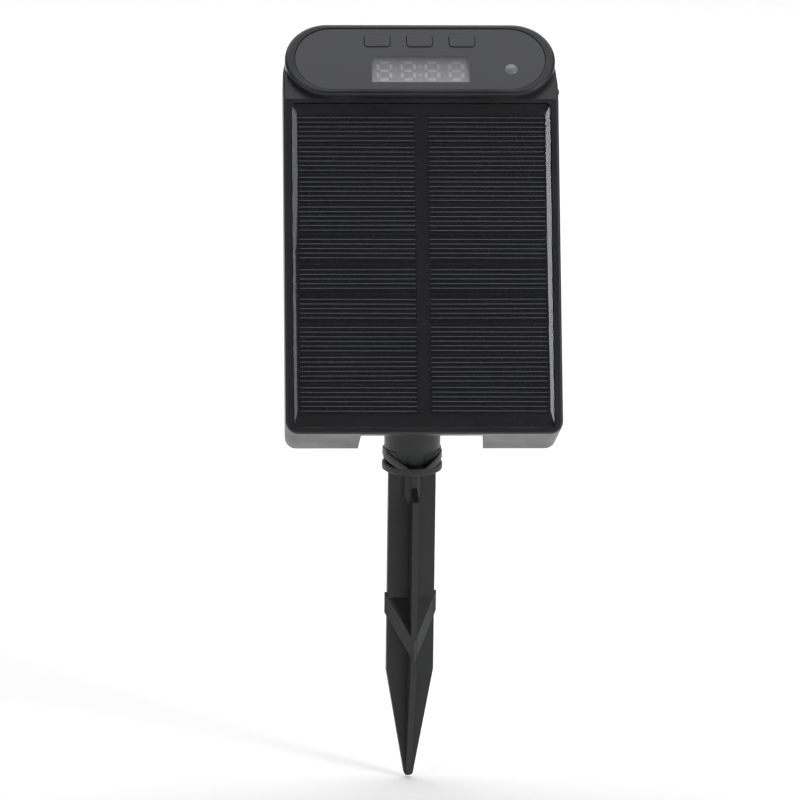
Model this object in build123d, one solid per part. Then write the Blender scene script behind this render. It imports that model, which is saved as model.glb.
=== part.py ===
from build123d import *
import os
from math import cos, pi, radians, sin, tan

# A solar fence energizer on a ground stake, in millimetres, +Z up.
# The origin is on the stake's axis at the underside of its flange, which is the ground line.
# The case is drawn upright in its own frame: X is its width, Y runs from its front face (0) to
# its back, Z is the height above its bottom edge. It is then tilted back about the hinge bolt.

# ---- case ----
case_width = 116.4
case_depth = 38.0
case_wall = 2.2
case_draft = 1.2  # degrees, each side, from the parting line to the back
bottom_corner = 5.5
rear_top_corner = 20.0
front_top_corner = 26.0
front_depth = 4.6  # from the front face to the parting line
front_edge_round = 1.1
gasket_inset = 1.05
gasket_width = 0.8
gasket_depth = 1.0
back_edge_round = 1.5
part_gap = 0.3  # between faces that only lie near each other

# ---- sloping control head ----
slope_start = 144.0
slope_angle = 22.0
head_side_step = 0.9  # from the case's side in to the head's
head_height = 36.4
head_rise = 3.0
head_start = 0.6  # from the start of the slope up to the head
head_over_top = 2.3  # of the head's top above the case's top edge
ring_edge_round = 1.3
ring_side = 4.3  # width of the ring round the face, at its ends and along its sides
ring_edge = 2.5
face_thickness = 1.4
face_set_back = 0.3
face_web = 1.8  # wall under the face plate

# ---- display, keys and lamp in the head ----
window_margin = 0.5  # of the window round the display module
window_share = 0.32  # of the face's free height that lies under the window
digit_count = 4
digit_pitch = 10.16
digit_height = 10.16
digit_width = 6.6
segment_width = 1.3
segment_rise = 0.15
module_width = 40.6
module_height = 12.8
module_depth = 7.0
display_gap = 0.6  # from the window's back to the display module
key_count = 3
key_pitch = 18.0
key_width = 11.0
key_height = 6.2
key_corner = 1.6
key_share = 0.28  # of the face's free height that lies over the keys
key_rise = 0.35
key_travel = 0.6
key_stem_diameter = 3.0
slide_gap = 0.2
lamp_across = 38.5
lamp_drop = 0.15  # of the lamp under the window's middle
lamp_diameter = 5.4
lamp_rise = 0.8
led_diameter = 4.6

# ---- boards and their screws ----
board_thickness = 1.6
control_board_gap = 1.5  # from its end to the nearest screw post
control_board_height = 26.0
control_post_x = 30.0
control_post_y = 10.0
main_board_gap = 2.0  # from its side to the nearest screw post
main_board_height = 46.0
main_board_bottom = 93.0
main_board_stand = 5.0
main_hole_inset = 4.0
board_post_diameter = 5.0
board_screw_diameter = 2.0
board_screw_head = 4.0
board_screw_head_height = 1.5
board_screw_length = 5.0
tact_size = 6.0
tact_height = 3.5

# ---- solar panel ----
bezel_side = 3.6  # the frame beside, under and over the panel
panel_bottom = 2.6
bezel_top = 2.0
panel_corner = 1.8
panel_recess = 2.6
panel_clearance = 0.35
panel_board = 1.0
panel_proud = 0.3
panel_lead_drop = 12.0  # of the slot for the panel's leads under the panel's top
panel_lead_slot = 10.0
panel_lead_room = 4.0
cell_rows = 10
cell_column_gap = 5.5
cell_row_gap = 0.6
cell_side_margin = 2.45
cell_bottom_margin = 6.0
cell_top_margin = 4.8
cell_thickness = 0.3
cover_bevel_depth = 0.9
side_bevel_width = 2.4
top_bevel_width = 3.8

# ---- channel in the back that the socket tube folds into, and the hinge ----
channel_side_gap = 2.75  # between the knob's end and the channel's wall
hinge_across = -2.3  # of the hinge's middle from the case's, so that the knob has room
channel_height = 88.0
channel_corner = 4.0
pivot_height = 75.0
pivot_depth = 25.0
pivot_ground = 87.0  # height of the hinge bolt over the ground line
case_tilt = 27.0
ear_thickness = 5.0
ear_radius = 9.5
bolt_diameter = 6.0
bolt_clearance = 0.08
bolt_head_across = 10.0
bolt_head_height = 4.0
washer_thickness = 1.0
washer_diameter = 14.0
knob_diameter = 18.0
knob_length = 8.6
knob_bore = 7.0
knob_lobes = 6
knob_lobe_radius = 2.4

# ---- socket tube ----
tube_diameter = 24.0
tube_wall = 2.4
knuckle_width = 20.0
knuckle_radius = 10.5
bush_wall = 1.5
neck_length = 12.0  # from the hinge bolt down to the full tube
ear_gap = 0.3
spigot_clearance = 0.06
spigot_length = 34.0

# ---- ground stake ----
flange_diameter = 25.8
flange_thickness = 3.5
flange_wall = 2.2
pocket_floor = 0.9  # of the flange's pockets
crown_height = 9.8
notch_floor = 3.3
notch_floor_half = 3.6
notch_flare = 30.0  # degrees, towards the front and the back
bar_step = 0.5  # from the flange's side in to the crown's bars
bar_foot_rise = 5.0  # of the bars' undersides at the crown's side
stake_turn = 8.0
stake_length = 138.0
wing_half = 10.2
rib_thickness = 2.6
point_length = 48.0
tip_half = 1.7
collar_length = 12.0
collar_end = 5.0  # of the taper under the collar
collar_radius = 4.4
front_rib_start = 7.5
front_rib_ramp = 5.0
front_rib_step = 4.7  # of the rib's upper end behind its lower part
barb_top = 55.0
barb_height = 9.0
barb_drop = 20.0
barb_proud = 1.1

# ---- case screws ----
case_post_diameter = 7.0
case_post_back = 29.8
post_root = 1.0  # how far a post is buried in the wall it stands on
case_screw_diameter = 3.0
case_screw_head = 5.6
case_screw_head_height = 2.2
case_screw_length = 14.0
case_screw_floor = 2.1
counterbore_diameter = 6.4
screw_tube_diameter = 9.0
case_screw_inset = 8.7  # from the case's side
case_screw_heights = (8.5, 100.0)
top_screw_inset = 11.2
top_screw_above = 1.0  # over the middle of the head

# ---- terminals on the back ----
terminal_x = 33.0
terminal_height = 122.0
stud_diameter = 6.0
stud_inner_end = 26.0
stud_free_length = 7.0
stud_groove = 1.0
stud_groove_depth = 0.5
stud_flange_diameter = 12.0
stud_flange_thickness = 3.0
terminal_washer_diameter = 13.0
terminal_washer_thickness = 1.2
nut_diameter = 14.0
nut_length = 9.0
nut_grips = 16
nut_grip_radius = 0.9
thread_clearance = 0.05
turn_gap = 0.15

# ---- battery, capacitor and transformer ----
cell_diameter = 18.3
cell_length = 65.0
cradle_wall = 1.6
cradle_bottom = 13.6
cradle_spring = 3.4
contact_room = 0.8
cradle_depth = 15.0
bay_gap = 2.2  # from the channel's wall to what stands beside it
capacitor_width = 20.0
capacitor_height = 40.0
capacitor_depth = 20.0
capacitor_bottom = 24.0
core_width = 30.0
core_height = 26.0
core_depth = 16.0
core_window_width = 6.0
core_window_height = 16.0
core_side_leg = 4.5
core_across = -12.0
core_up = 116.0
winding_overhang = 2.0
lead_diameter = 1.8
lead_bend = 3.0

# ---- power switch on the right-hand side ----
switch_depth = 17.0
switch_height = 151.0
switch_travel = 2.0
switch_nub = 2.2
switch_nub_reach = 1.7
switch_body = (4.0, 6.0, 12.0)


# Sizes that follow from the ones above.
lean = radians(slope_angle)
ear_inner = knuckle_width / 2 + ear_gap + washer_thickness
ear_outer = ear_inner + ear_thickness
knob_start = ear_outer + washer_thickness + turn_gap
channel_half = hinge_across + knob_start + knob_length + channel_side_gap
head_width = case_width - 2 * head_side_step
head_up_slope = head_start + head_height / 2
face_width = head_width - 2 * ring_side
face_height = head_height - 2 * ring_edge
case_height = slope_start + (head_start + head_height) * cos(lean) - head_over_top
window_width = module_width + 2 * window_margin
window_height = module_height + 2 * window_margin
free_height = face_height - window_height - key_height
window_below = (face_height - window_height) / 2 - window_share * free_height
lamp_below = window_below + lamp_drop
key_above = (face_height - key_height) / 2 - key_share * free_height
panel_width = case_width - 2 * bezel_side
panel_height = slope_start - bezel_top - panel_bottom
cell_width = (panel_width - 2 * cell_side_margin - cell_column_gap) / 2
cells_bottom = panel_bottom + cell_bottom_margin
cells_top = panel_bottom + panel_height - cell_top_margin
case_screw_x = case_width / 2 - case_screw_inset
top_screw_x = case_width / 2 - top_screw_inset
top_screw_height = slope_start + head_up_slope * cos(lean) + top_screw_above
main_board_width = 2 * (case_screw_x - case_post_diameter / 2 - main_board_gap)
control_board_width = 2 * (top_screw_x - case_post_diameter / 2 - control_board_gap)
cradle_half = cell_diameter / 2 + part_gap + cradle_wall
battery_x = -(channel_half + case_width / 2) / 2  # the middle of the bay beside the channel
battery_depth = front_depth + cradle_wall + part_gap + cell_diameter / 2
cradle_length = cell_length + cradle_spring + 2 * cradle_wall + contact_room
capacitor_x = channel_half + case_wall + bay_gap + capacitor_width / 2
tube_bore = tube_diameter - 2 * tube_wall
bush_diameter = bolt_diameter + 2 * bush_wall + bolt_clearance
bolt_bore = bolt_diameter + 2 * bolt_clearance
leg_width = core_width - 2 * core_window_width - 2 * core_side_leg
free_end_start = case_depth + terminal_washer_thickness + turn_gap + nut_length + turn_gap + stud_groove
stud_end = free_end_start + stud_free_length
panel_lead_height = panel_bottom + panel_height - panel_lead_drop

# Heights over the slope of the layers in the head.
face_top = head_rise - face_set_back
face_back = face_top - face_thickness
web_back = face_back - face_web
module_front = face_back - display_gap
control_board_front = module_front - module_depth
control_board_back = control_board_front - board_thickness
key_under = face_back + key_travel + 0.1
board_back = front_depth + main_board_stand + board_thickness


def block(x_range, y_range, z_range):
    """A box between two limits on each axis."""
    sizes = [limits[1] - limits[0] for limits in (x_range, y_range, z_range)]
    middle = [(limits[1] + limits[0]) / 2 for limits in (x_range, y_range, z_range)]
    return Pos(*middle) * Box(*sizes)


def group(shapes):
    """Several separate solids as one shape."""
    return Compound([solid for shape in shapes for solid in shape.solids()])


def rod(diameter, x, z, y_start, y_end):
    """A cylinder along the case's depth."""
    length = y_end - y_start
    return Pos(x, (y_start + y_end) / 2, z) * Rot(90, 0, 0) * Cylinder(diameter / 2, length)


def cross_rod(diameter, x_start, x_end):
    """A cylinder along X on the hinge axis, in the case's frame."""
    length = x_end - x_start
    turned = Rot(0, 90, 0) * Cylinder(diameter / 2, length)
    return Pos((x_start + x_end) / 2, pivot_depth, pivot_height) * turned


def at_hinge(shape):
    """Moves a shape drawn about the middle of the hinge to its place across the case."""
    return Pos(hinge_across, 0, 0) * shape


def in_place(shape):
    """Moves a shape from the case's frame to its tilted place over the stake."""
    over_stake = Pos(-hinge_across, 0, pivot_ground) * Rot(-case_tilt, 0, 0)
    return over_stake * Pos(0, -pivot_depth, -pivot_height) * shape


def back_plane(depth):
    """A plane across the case at a depth, whose normal points to the back."""
    return Plane(origin=(0, depth, 0), x_dir=(-1, 0, 0), z_dir=(0, 1, 0))


def head_plane(rise=0.0):
    """A plane on the sloping head, whose middle is the head's middle."""
    middle_y = head_up_slope * sin(lean) - rise * cos(lean)
    middle_z = slope_start + head_up_slope * cos(lean) + rise * sin(lean)
    normal = (0, -cos(lean), sin(lean))
    return Plane(origin=(0, middle_y, middle_z), x_dir=(1, 0, 0), z_dir=normal)


def on_head(sketch, top, thickness):
    """Extrudes a sketch of the head down from a height over the slope."""
    return extrude(head_plane(top - thickness) * sketch, thickness)


def stadium(width, height):
    """A slot-shaped outline of full-round ends."""
    return SlotOverall(width, height)


def behind_front(offset):
    """Everything more than an offset behind the front face and the slope."""
    far = 3 * case_depth
    top = case_height + far
    knee = slope_start - offset * tan(lean / 2)
    top_y = offset + (top - knee) * tan(lean)
    outline = Polygon(
        (offset, -far), (offset, knee), (top_y, top), (top_y + far, top), (top_y + far, -far), align=None
    )
    return extrude(Plane.YZ * outline, case_width, both=True)


def case_outline(top_radius, inset=0.0):
    """The case seen from the front, drawn in by an inset."""
    face = Rectangle(case_width - 2 * inset, case_height - 2 * inset)
    corners = face.vertices().sort_by(Axis.Y)
    face = fillet(corners[:2], bottom_corner - inset)
    upper = face.vertices().sort_by(Axis.Y)[-2:]
    face = fillet(upper, top_radius - inset)
    return Pos(0, case_height / 2) * face


def channel_outline(grow=0.0):
    """The channel seen from the back, open at the bottom."""
    below = 2 * bottom_corner
    height = channel_height + below + grow
    face = Rectangle(2 * (channel_half + grow), height)
    face = fillet(face.vertices().sort_by(Axis.Y)[-2:], channel_corner + grow)
    return Pos(0, height / 2 - below) * face


def case_screw_places():
    """The places of the six case screws, seen from the front."""
    low = [(side * case_screw_x, height) for height in case_screw_heights for side in (-1, 1)]
    return low + [(side * top_screw_x, top_screw_height) for side in (-1, 1)]


def main_board_holes():
    """The places of the main board's screws."""
    x = main_board_width / 2 - main_hole_inset
    low = main_board_bottom + main_hole_inset
    high = main_board_bottom + main_board_height - main_hole_inset
    return [(side * x, height) for height in (low, high) for side in (-1, 1)]


def control_board_holes():
    """The places of the control board's screws on the head."""
    return [(sx * control_post_x, sy * control_post_y) for sx in (-1, 1) for sy in (-1, 1)]


def key_places():
    """The middles of the keys on the head."""
    return [((index - (key_count - 1) / 2) * key_pitch, key_above) for index in range(key_count)]


def rounded_box(width, height, corner):
    """A rectangle with equal round corners."""
    return RectangleRounded(width, height, corner)


def front_shell():
    """The front frame with the panel's recess and the raised head, and its screw posts."""
    plate = extrude(back_plane(0) * case_outline(front_top_corner), case_depth) & behind_front(0)
    plate = fillet(plate.edges().filter_by(on_front_face), front_edge_round)
    plate -= behind_front(front_depth)
    head = on_head(stadium(head_width, head_height), head_rise, head_rise + front_depth)
    rim = head.edges().filter_by_position(head_normal_axis(), head_rise - 0.01, head_rise + 0.01)
    head = fillet(rim, ring_edge_round)
    shell = plate + head
    shell -= hollow(front_top_corner) - behind_front(front_depth)
    recess_size = (panel_width + 2 * panel_clearance, panel_height + 2 * panel_clearance)
    recess = rounded_box(*recess_size, panel_corner + panel_clearance)
    middle = panel_bottom + panel_height / 2
    side = case_width / 2 - case_wall
    web = block((-side, side), (0, front_depth), (case_wall, slope_start + 1))
    shell += (web & behind_front(front_edge_round)) - behind_front(front_depth)
    shell -= extrude(back_plane(0) * Pos(0, middle) * recess, panel_recess)
    shell -= extrude(back_plane(-front_depth) * Pos(0, middle) * recess, front_depth)
    shell -= on_head(stadium(face_width + 2 * part_gap, face_height + 2 * part_gap), head_rise + 1,
                     head_rise + 1 - face_back)
    room_size = (face_width - 2 * face_web, face_height - 2 * face_web)
    shell -= on_head(stadium(*room_size), web_back, front_depth + web_back + 1)
    shell += screw_posts()
    shell -= head_holes()
    shell -= main_lead_hole()
    return shell


def head_normal_axis():
    """The axis that points out of the sloping head, from its middle."""
    plane = head_plane(0)
    return Axis(plane.origin, plane.z_dir)


def on_front_face(edge):
    """Whether an edge lies on the case's front face or slope."""
    for place in (0.1, 0.5, 0.9):
        point = edge @ place
        flat = abs(point.Y) < 0.01
        slope = abs(point.Y * cos(lean) - (point.Z - slope_start) * sin(lean)) < 0.01
        if not (flat or slope):
            return False
    across = abs((edge @ 0.5).Z - slope_start) < 0.01 and abs((edge @ 0.5).X) < 1
    return not across


def hollow(top_radius):
    """The room inside the case, between its walls and round the channel."""
    region = case_outline(top_radius, case_wall) - channel_outline(case_wall)
    room = extrude(back_plane(0) * region, case_depth - case_wall)
    return room & behind_front(case_wall)


def screw_posts():
    """The posts behind the front shell that take the case and board screws."""
    solid = None
    reach = case_post_back - case_screw_length + case_screw_floor
    for x, z in case_screw_places():
        buried = 0 if z > slope_start else front_depth - post_root
        post = rod(case_post_diameter, x, z, 0, case_post_back) & behind_front(buried)
        post -= rod(case_screw_diameter, x, z, reach - 1, case_post_back + 1)
        solid = post if solid is None else solid + post
    stop = front_depth + main_board_stand
    for x, z in main_board_holes():
        post = rod(board_post_diameter, x, z, front_depth - post_root, stop)
        solid += post - rod(board_screw_diameter, x, z, front_depth + 0.6, stop + 1)
    for x, y in control_board_holes():
        post = Pos(x, y) * Circle(board_post_diameter / 2)
        hole = Pos(x, y) * Circle(board_screw_diameter / 2)
        length = web_back - control_board_front + 0.5
        solid += on_head(post, web_back + 0.5, length) - on_head(hole, web_back - 0.4, length)
    return solid


def head_holes():
    """The holes through the head's web for the display, the key stems and the lamp."""
    deep = face_web + 2
    top = face_back + 1
    module = rounded_box(module_width + 2 * part_gap, module_height + 2 * part_gap, 0.6)
    holes = on_head(Pos(0, -window_below) * module, top, deep)
    for x, y in key_places():
        holes += on_head(Pos(x, y) * Circle(key_stem_diameter / 2 + slide_gap), top, deep)
    holes += on_head(Pos(lamp_across, -lamp_below) * Circle(led_diameter / 2 + part_gap), top, deep)
    return holes


def main_lead_hole():
    """The slot in the recess floor that the panel's leads pass through."""
    slot = back_plane(0) * Pos(0, panel_lead_height) * SlotOverall(panel_lead_slot, panel_lead_room)
    return extrude(slot, front_depth + 1)


def rear_shell():
    """The rear tub with the channel, the hinge ears, the screw tubes and the terminal holes."""
    outline = case_outline(rear_top_corner)
    tub = extrude(back_plane(front_depth) * outline, case_depth - front_depth, taper=case_draft)
    back_rim = tub.edges().filter_by_position(Axis.Y, case_depth - 0.01, case_depth + 0.01)
    tub = fillet(back_rim, back_edge_round)
    tub = tub & behind_front(front_depth)
    inner = case_outline(rear_top_corner, case_wall) - channel_outline(case_wall)
    room = extrude(back_plane(front_depth - 1) * inner, case_depth - case_wall - front_depth + 1,
                   taper=case_draft)
    tub -= room
    channel = extrude(back_plane(0) * channel_outline(), case_depth + 1)
    tub -= channel
    tub += hinge_ears()
    for x, z in case_screw_places():
        tub += rod(screw_tube_diameter, x, z, case_post_back + 0.1, case_depth - 1)
        tub -= rod(counterbore_diameter, x, z, case_post_back + 0.1 + case_screw_floor, case_depth + 1)
        tub -= rod(case_screw_diameter + 0.4, x, z, case_post_back - 1, case_depth)
    for side in (-1, 1):
        tub -= rod(stud_diameter + 0.3, side * terminal_x, terminal_height, stud_inner_end, case_depth + 1)
    tub -= case_gasket()
    tub -= switch_slot()
    return tub


def hinge_ears():
    """Two ears that hang from the channel's ceiling and carry the hinge bolt."""
    ears = None
    for side in (-1, 1):
        limits = sorted((side * ear_inner, side * ear_outer))
        ear = cross_rod(2 * ear_radius, *limits)
        ear += block(limits, (pivot_depth - ear_radius, pivot_depth + ear_radius),
                     (pivot_height, channel_height + 1))
        ears = ear if ears is None else ears + ear
    ears -= cross_rod(bolt_bore, -case_width, case_width)
    return at_hinge(ears)


def gasket_region(outer_inset, inner_inset):
    """A band that follows the rim of the rear shell and the edge of the channel."""
    outer = case_outline(rear_top_corner, outer_inset) - channel_outline(outer_inset)
    inner = case_outline(rear_top_corner, inner_inset) - channel_outline(inner_inset)
    return outer - inner


def case_gasket():
    """The rubber seal in its groove in the rim of the rear shell."""
    region = gasket_region(gasket_inset, gasket_inset + gasket_width)
    band = extrude(back_plane(0) * region, case_depth)
    return (band & behind_front(front_depth)) - behind_front(front_depth + gasket_depth)


def switch_slot():
    """The slot in the side wall that the power switch's nub slides in."""
    half = switch_nub / 2 + slide_gap
    x_range = (case_width / 2 - 3 * case_wall, case_width / 2 + 1)
    y_range = (switch_depth - half, switch_depth + half)
    z_range = (switch_height - half, switch_height + half + switch_travel)
    return block(x_range, y_range, z_range)


def solar_backing():
    """The black board that carries the solar cells."""
    face = rounded_box(panel_width, panel_height, panel_corner)
    start = panel_recess - panel_board
    return extrude(back_plane(start) * Pos(0, panel_bottom + panel_height / 2) * face, panel_board)


def cell_places():
    """The middles of the cell strips and the size of one."""
    pitch = (cells_top - cells_bottom + cell_row_gap) / cell_rows
    size = (cell_width, pitch - cell_row_gap)
    across = (cell_width + cell_column_gap) / 2
    places = []
    for row in range(cell_rows):
        height = cells_bottom + (row + 0.5) * pitch - cell_row_gap / 2
        places += [(side * across, height) for side in (-1, 1)]
    return places, size


def solar_cells():
    """The dark cell strips, two columns side by side."""
    places, size = cell_places()
    start = panel_recess - panel_board - cell_thickness
    strips = [block((x - size[0] / 2, x + size[0] / 2), (start, start + cell_thickness),
                    (z - size[1] / 2, z + size[1] / 2)) for x, z in places]
    return group(strips)


def solar_cover():
    """The clear cast cover over the cells, with a wide bevel along each of its sides."""
    middle = panel_bottom + panel_height / 2
    back = panel_recess - panel_board
    face = rounded_box(panel_width, panel_height, panel_corner)
    cover = extrude(back_plane(-panel_proud) * Pos(0, middle) * face, back + panel_proud)
    step = cover_bevel_depth - panel_proud
    top = panel_bottom + panel_height
    upright = Polygon((back, panel_bottom), (back, top), (step, top), (-panel_proud, top - top_bevel_width),
                      (-panel_proud, panel_bottom + side_bevel_width), (step, panel_bottom), align=None)
    half = panel_width / 2
    level = Polygon((-half, back), (-half, step), (-half + side_bevel_width, -panel_proud),
                    (half - side_bevel_width, -panel_proud), (half, step), (half, back), align=None)
    cover &= extrude(Plane.YZ * upright, case_width, both=True)
    cover &= extrude(Plane.XY * level, case_height)
    places, size = cell_places()
    start = back - cell_thickness
    for x, z in places:
        cover -= block((x - size[0] / 2, x + size[0] / 2), (start, back + 1),
                       (z - size[1] / 2, z + size[1] / 2))
    return cover


def control_face():
    """The smooth face plate of the head, with openings for the keys, the window and the lamp."""
    plate = on_head(stadium(face_width, face_height), face_top, face_thickness)
    opening = rounded_box(window_width, window_height, 0.6)
    plate -= on_head(Pos(0, -window_below) * opening, face_top + 1, face_thickness + 2)
    hole = rounded_box(key_width + 2 * slide_gap, key_height + 2 * slide_gap, key_corner + slide_gap)
    for x, y in key_places():
        plate -= on_head(Pos(x, y) * hole, face_top + 1, face_thickness + 2)
    lamp = Pos(lamp_across, -lamp_below) * Circle(lamp_diameter / 2)
    plate -= on_head(lamp, face_top + 1, face_thickness + 2)
    return plate


def display_window():
    """The smoked window over the digits."""
    opening = rounded_box(window_width, window_height, 0.6)
    return on_head(Pos(0, -window_below) * opening, face_top, face_thickness)


def display_module():
    """The body of the numeric display, with shallow beds for its segments."""
    body = on_head(Pos(0, -window_below) * rounded_box(module_width, module_height, 0.4),
                   module_front, module_depth)
    return body - display_segments()


def segment_outlines():
    """The seven bars of one digit, each a lozenge-ended bar."""
    bar = digit_height / 2 - segment_width / 2
    across = digit_width - segment_width
    flat = [(0, offset) for offset in (-bar, 0, bar)]
    upright = [(side * across / 2, up * bar / 2) for side in (-1, 1) for up in (-1, 1)]
    return flat, upright, across, bar


def display_segments():
    """The bars of all the digits and the two dots of the colon."""
    flat, upright, across, bar = segment_outlines()
    gap = 0.3
    solids = []
    for index in range(digit_count):
        shift = (index - (digit_count - 1) / 2) * digit_pitch
        places = [(x, y, across - segment_width - gap, segment_width) for x, y in flat]
        places += [(x, y, segment_width, bar - segment_width - gap) for x, y in upright]
        for x, y, width, height in places:
            outline = Pos(shift + x, y - window_below) * SlotOverall(
                max(width, height), segment_width, rotation=0 if width > height else 90)
            solids.append(on_head(outline, module_front, segment_rise))
    for side in (-1, 1):
        dot = Pos(0, side * digit_height / 5 - window_below) * Circle(segment_width / 2)
        solids.append(on_head(dot, module_front, segment_rise))
    return group(solids)


def key(x, y):
    """One key: a shallow cap in the face plate, on a stem that reaches the switch behind it."""
    top = face_top + key_rise
    cap = on_head(Pos(x, y) * rounded_box(key_width, key_height, key_corner), top, top - key_under)
    rim = cap.edges().filter_by_position(head_normal_axis(), top - 0.01, top + 0.01)
    cap = fillet(rim, key_rise * 0.8)
    tip = control_board_front + tact_height + key_travel + 0.15
    stem = on_head(Pos(x, y) * Circle(key_stem_diameter / 2), key_under + 0.2, key_under + 0.2 - tip)
    return cap + stem


def status_lens():
    """The small domed lens over the status lamp."""
    lens = on_head(Pos(lamp_across, -lamp_below) * Circle(lamp_diameter / 2), face_top, face_thickness)
    radius = ((lamp_diameter / 2) ** 2 + lamp_rise ** 2) / (2 * lamp_rise)
    ball = head_plane(face_top + lamp_rise - radius).location * Pos(lamp_across, -lamp_below) * Sphere(radius)
    above = on_head(Rectangle(2 * case_width, 2 * case_width), face_top + 2 * radius, 2 * radius)
    return lens + (ball & above)


def status_led():
    """The lamp on the control board, under the lens."""
    top = face_back - 0.2
    body = on_head(Pos(lamp_across, -lamp_below) * Circle(led_diameter / 2), top, top - control_board_front)
    rim = body.edges().filter_by_position(head_normal_axis(), top - 0.01, top + 0.01)
    return fillet(rim, led_diameter / 2 - 0.3)


def control_board():
    """The board behind the head that carries the display, the key switches and the lamp."""
    board = on_head(rounded_box(control_board_width, control_board_height, 1.5), control_board_front,
                    board_thickness)
    for x, y in control_board_holes():
        hole = Pos(x, y) * Circle(board_screw_diameter / 2 + 0.15)
        board -= on_head(hole, control_board_front + 1, board_thickness + 2)
    return board


def tact_switches():
    """The small push switches behind the keys."""
    bodies = []
    for x, y in key_places():
        top = control_board_front + tact_height
        body = on_head(Pos(x, y) * rounded_box(tact_size, tact_size, 0.5), top - 0.6, tact_height - 0.6)
        body += on_head(Pos(x, y) * Circle(key_stem_diameter / 2), top, 1.0)
        bodies.append(body)
    return group(bodies)


def main_board():
    """The board that carries the charger and the pulse circuit."""
    face = rounded_box(main_board_width, main_board_height, 1.5)
    middle = main_board_bottom + main_board_height / 2
    start = front_depth + main_board_stand
    board = extrude(back_plane(start) * Pos(0, middle) * face, board_thickness)
    for x, z in main_board_holes():
        board -= rod(board_screw_diameter + 0.3, x, z, start - 1, board_back + 1)
    return board


def board_screw(place):
    """One small pan-head screw, drawn along Z with its head above the origin."""
    shank = Pos(0, 0, -board_screw_length / 2) * Cylinder(board_screw_diameter / 2, board_screw_length)
    head = Pos(0, 0, board_screw_head_height / 2) * Cylinder(board_screw_head / 2, board_screw_head_height)
    head = fillet(head.edges().sort_by(Axis.Z)[-1], 0.6)
    slot = Pos(0, 0, board_screw_head_height) * Box(0.6, 2.4, 1.0)
    cross = Pos(0, 0, board_screw_head_height) * Box(2.4, 0.6, 1.0)
    return place * (shank + head - slot - cross)


def board_screws():
    """The screws of both boards."""
    screws = []
    for x, z in main_board_holes():
        screws.append(board_screw(Plane(origin=(x, board_back, z), z_dir=(0, 1, 0)).location))
    plane = head_plane(control_board_back)
    for x, y in control_board_holes():
        screws.append(board_screw(plane.location * Pos(x, y, 0) * Rot(180, 0, 0)))
    return group(screws)


def case_screws():
    """The six screws that hold the two shells together."""
    screws = []
    seat = case_post_back + 0.1 + case_screw_floor
    for x, z in case_screw_places():
        screw = rod(case_screw_head, x, z, seat, seat + case_screw_head_height)
        screw = fillet(screw.edges().sort_by(Axis.Y)[-1], 0.8)
        screw += rod(case_screw_diameter, x, z, seat - case_screw_length, seat + 0.5)
        top = seat + case_screw_head_height
        for size in ((0.8, 3.4), (3.4, 0.8)):
            screw -= Pos(x, top, z) * Box(size[0], 1.6, size[1])
        screws.append(screw)
    return group(screws)


def battery_cradle():
    """The tray that holds the rechargeable cell in the left-hand bay."""
    length = cradle_length
    x_range = (battery_x - cradle_half, battery_x + cradle_half)
    front = front_depth + part_gap / 3
    z_range = (cradle_bottom, cradle_bottom + length)
    tray = block(x_range, (front, front + cradle_depth), z_range)
    middle_y = battery_depth
    length_inside = length - 2 * cradle_wall
    bore = Pos(battery_x, middle_y, cradle_bottom + length / 2) * Cylinder(
        cell_diameter / 2 + part_gap, length_inside)
    mouth = block((battery_x - cell_diameter / 2 - part_gap, battery_x + cell_diameter / 2 + part_gap),
                  (middle_y, front + cradle_depth + 1),
                  (cradle_bottom + cradle_wall, cradle_bottom + length - cradle_wall))
    return tray - bore - mouth


def battery_cell():
    """The rechargeable cell, with its raised positive end."""
    base = cradle_bottom + cradle_wall + cradle_spring
    body = Pos(battery_x, battery_depth, base + cell_length / 2 - 0.5) * Cylinder(
        cell_diameter / 2, cell_length - 1)
    rims = body.edges().filter_by(GeomType.CIRCLE)
    body = fillet(rims, 0.6)
    cap = Pos(battery_x, battery_depth, base + cell_length - 1) * Cylinder(3.5, 2)
    return body + cap


def battery_contacts():
    """The cell's two contacts: a coiled cone at the bottom and a leaf at the top."""
    base = cradle_bottom + cradle_wall
    y = battery_depth
    plate = Pos(battery_x, y, base + 0.2) * Box(10, 10, 0.4)
    cone = Pos(battery_x, y, base + cradle_spring / 2) * Cone(3.6, 2.2, cradle_spring)
    cone -= Pos(battery_x, y, base + cradle_spring / 2 + 0.4) * Cone(3.0, 1.6, cradle_spring)
    top = base + cradle_spring + cell_length + 0.4
    leaf = Pos(battery_x, y, top + 0.1) * Box(10, 10, 0.5)
    return group([plate + cone, leaf])


def storage_capacitor():
    """The boxed capacitor that stores the pulse, in the right-hand bay."""
    front = front_depth + part_gap / 3
    can = block((capacitor_x - capacitor_width / 2, capacitor_x + capacitor_width / 2),
                (front, front + capacitor_depth),
                (capacitor_bottom, capacitor_bottom + capacitor_height))
    return fillet(can.edges(), 1.2)


def transformer_core():
    """The E-shaped core of the pulse transformer."""
    start = board_back + winding_overhang + 0.2
    y_range = (start, start + core_depth)
    core = block((core_across - core_width / 2, core_across + core_width / 2), y_range,
                 (core_up - core_height / 2, core_up + core_height / 2))
    leg = leg_width
    for side in (-1, 1):
        middle = core_across + side * (leg + core_window_width) / 2
        core -= block((middle - core_window_width / 2, middle + core_window_width / 2),
                      (start - 1, start + core_depth + 1),
                      (core_up - core_window_height / 2, core_up + core_window_height / 2))
    return core


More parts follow.
